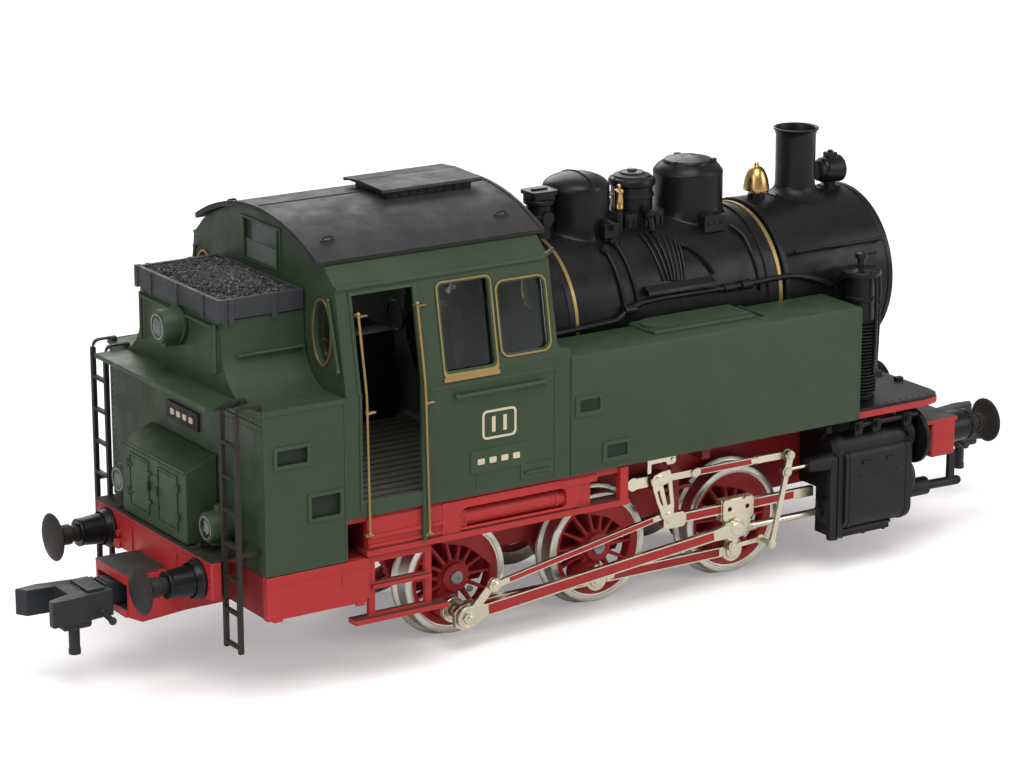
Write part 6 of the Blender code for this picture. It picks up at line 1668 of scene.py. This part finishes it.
# air pump: lever fitting, flange, plain cylinder with pipes, then fine cooling fins
b = Build()
b.use(BLACK)
prof = [(0, 97.0), (1.0, 97.0), (1.9, 96.6), (1.9, 95.2), (1.1, 94.9), (1.1, 92.2), (1.8, 91.9), (5.9, 91.7), (6.2, 91.4), (6.2, 90.2), (5.8, 89.9),
        (4.4, 89.6), (4.4, 83.6), (4.8, 83.3), (4.8, 82.5), (4.4, 82.2), (4.4, 76.2), (5.4, 75.8)]
z = 75.2
while z > 53.4:
    prof += [(4.6, z), (5.6, z - 0.25), (5.6, z - 0.6), (4.6, z - 0.85)]
    z -= 1.05
prof += [(5.2, 52.6), (5.2, 51.4), (0, 51.4)]
b.lathe(prof, (91.7, -33.2, 0), (0, 0, 1), 48)
for i in range(8):
    a = 2 * pi * i / 8
    b.hexnut((91.7 + 5.2 * math.cos(a), -33.2 + 5.2 * math.sin(a), 91.7), (0, 0, 1), 0.5, 0.4, False)
b.rod((91.7, -33.2, 95.9), (96.4, -34.0, 96.5), 0.45)
b.ball((96.4, -34.0, 96.5), 0.7, 8)
b.pipe([(97.4, -34.6, 91.0), (98.0, -34.6, 86.0), (98.0, -34.4, 74.0), (97.6, -34.2, 60.0), (97.0, -34.0, 53.0)], 0.7, 12, 5)
b.pipe([(93.2, -38.6, 90.4), (93.4, -38.9, 84.0), (93.4, -38.9, 70.0), (93.2, -38.6, 60.0)], 0.55, 12, 5)
b.pipe([(86.6, -31.4, 90.6), (86.2, -28.4, 88.0), (87.7, -26.4, 84.6)], 0.8, 12, 5)
b.box(95.9, 98.6, -36.0, -26.0, 79.0, 80.6)
b.box(85.4, 86.8, -34.6, -26.0, 79.0, 80.6)
b.box(86.6, 96.8, -28.0, -26.2, 56.0, 88.0)
b.box(96.6, 99.4, -35.4, -27.5, 56.8, 59.0)
b.done("air_pump_looks", "engine_frame", ("air_pump",), bevel=0.06)

# valve chest covers, drain gear and lubricator pipes over each cylinder
for s in (-1, 1):
    b = Build()
    b.use(BLACK)
    c = (108.7, s * 38.2, 37.4)
    b.lathe([(0, 0), (8.7, 0), (8.8, 0.3), (8.8, 1.3), (8.4, 1.6), (6.0, 1.7), (5.6, 2.6), (0, 3.0)], c, (1, 0, 0), 48)
    for i in range(10):
        a = 2 * pi * (i + 0.5) / 10
        b.hexnut((c[0] + 1.6, c[1] + 7.3 * math.cos(a), c[2] + 7.3 * math.sin(a)), (1, 0, 0), 0.6, 0.4, True)
    b.rod((82.0, s * 42.6, 45.6), (107.6, s * 42.6, 45.6), 0.9, n=14)
    for x in (84.0, 91.0, 103.0):
        b.box(x - 1.5, x + 1.5, s * 41.0, s * 44.0, 43.0, 47.0)
        b.hexnut((x, s * 44.0, 45.2), (0, s, 0), 1.2, 0.7, True)
    b.pipe([(91.0, s * 42.6, 46.6), (91.0, s * 40.0, 47.4), (88.0, s * 36.0, 47.4)], 0.6, 10, 3)
    b.pipe([(103.0, s * 42.6, 43.6), (104.6, s * 43.4, 40.0), (105.8, s * 42.0, 36.0)], 0.6, 10, 3)
    b.rod((76.4, s * 38.4, 43.4), (76.4, s * 38.4, 45.6), 1.3, n=16)
    b.done("cylinder_fittings_" + tag_of(s), "engine_frame", (), bevel=0.1)


# ======================================================================
# every CAD solid that still shows takes its own finish
# ======================================================================
LOOK = {"body_green": GREEN, "chassis_red": RED, "engine_black": BLACK, "roof_grey": ROOF, "motion_nickel": NICKEL,
        "brass": BRASS, "coal": COAL, "coal_boards": SLATE, "motor_steel": DARK_STEEL, "coupler_black": COUPLER}
SLOT_OF = {}
for slot_name, row in ((frame["record"].get("behaviour") or {}).get("material_slots") or {}).items():
    for n in (row.get("nodes", []) if isinstance(row, dict) else row):
        SLOT_OF[n] = slot_name
for n, obj in NODES.items():
    if obj.hide_render:
        continue
    slot_name = SLOT_OF.get(n)
    if slot_name is None:
        slot_name = ("motor_steel" if "motor" in n else "brass" if "gear" in n else "engine_black")
    obj.data.materials.clear()
    obj.data.materials.append(LOOK.get(slot_name, BLACK))
    weld = obj.modifiers.new("weld", "WELD")
    weld.merge_threshold = 4e-6
    soft = obj.modifiers.new("soft_edges", "BEVEL")
    soft.width = 0.15 * MM
    soft.segments = 2
    soft.limit_method = "ANGLE"
    soft.angle_limit = deg(35)

# ======================================================================
# stage, light, camera
# ======================================================================
floor_mat, ft, fb = finish_nodes("studio_floor")
fb.inputs["Base Color"].default_value = (0.82, 0.81, 0.815, 1)
fb.inputs["Roughness"].default_value = 0.8
fb.inputs["Specular IOR Level"].default_value = 0.1
fb.inputs["Emission Color"].default_value = (1, 1, 1, 1)
fpath = ft.nodes.new("ShaderNodeLightPath")
ft.links.new(maths(ft, "MULTIPLY", fpath.outputs["Is Camera Ray"], 0.24), fb.inputs["Emission Strength"])
me = bpy.data.meshes.new("studio_floor")
me.from_pydata([(-6, -6, 0), (6, -6, 0), (6, 6, 0), (-6, 6, 0)], [], [(0, 1, 2, 3)])
me.materials.append(floor_mat)
floor = bpy.data.objects.new("studio_floor", me)
bpy.context.scene.collection.objects.link(floor)


def area(name, loc, target, size, power, colour=(1, 1, 1), size_y=None):
    light = bpy.data.lights.new(name, "AREA")
    light.energy = power
    light.color = colour
    light.size = size
    if size_y:
        light.shape = "RECTANGLE"
        light.size_y = size_y
    obj = bpy.data.objects.new(name, light)
    bpy.context.scene.collection.objects.link(obj)
    obj.location = loc
    obj.rotation_mode = "QUATERNION"
    obj.rotation_quaternion = (Vector(target) - Vector(loc)).to_track_quat("-Z", "Y")
    return obj


area("key_overhead", (-0.25, -0.55, 1.15), (0, 0, 0.05), 0.9, 13.0, (1.0, 0.985, 0.96))
area("fill_left", (-1.15, -0.45, 0.55), (0, 0, 0.06), 0.7, 5.0, (0.97, 0.985, 1.0))
area("fill_right", (0.95, -0.95, 0.60), (0, 0, 0.06), 0.8, 6.0, (1.0, 0.99, 0.97))
area("back_rim", (0.35, 1.0, 0.75), (0, 0, 0.08), 0.9, 7.0, (1.0, 1.0, 1.0))
cab_glow = area("cab_fill", (-0.066, 0.0, 0.116), (-0.078, -0.012, 0.06), 0.02, 0.008, (1.0, 1.0, 0.98))
cab_glow.visible_camera = False

world = bpy.data.worlds.new("studio")
bpy.context.scene.world = world
world.use_nodes = True
wt = world.node_tree
wt.nodes["Background"].inputs["Color"].default_value = (1.0, 1.0, 1.0, 1.0)
path = wt.nodes.new("ShaderNodeLightPath")
wt.links.new(maths(wt, "ADD", maths(wt, "MULTIPLY", path.outputs["Is Camera Ray"], 0.62), 0.38),
             wt.nodes["Background"].inputs["Strength"])

scene = bpy.context.scene
scene.view_settings.view_transform = "Standard"
scene.view_settings.look = "None"
scene.view_settings.exposure = 0.0

cam_data = bpy.data.cameras.new("photo_camera")
cam_data.lens = 120.33
cam_data.sensor_width = 36.0
cam_data.clip_start, cam_data.clip_end = 0.01, 50.0
cam = bpy.data.objects.new("photo_camera", cam_data)
scene.collection.objects.link(cam)
az, el = deg(-33.05), deg(15.87)
back = Vector((math.sin(az) * math.cos(el), -math.cos(az) * math.cos(el), math.sin(el)))
cam.rotation_mode = "QUATERNION"
cam.location = (-0.54956, -0.82384, 0.34457)
cam.rotation_quaternion = (-back).to_track_quat("-Z", "Y")
scene.camera = cam
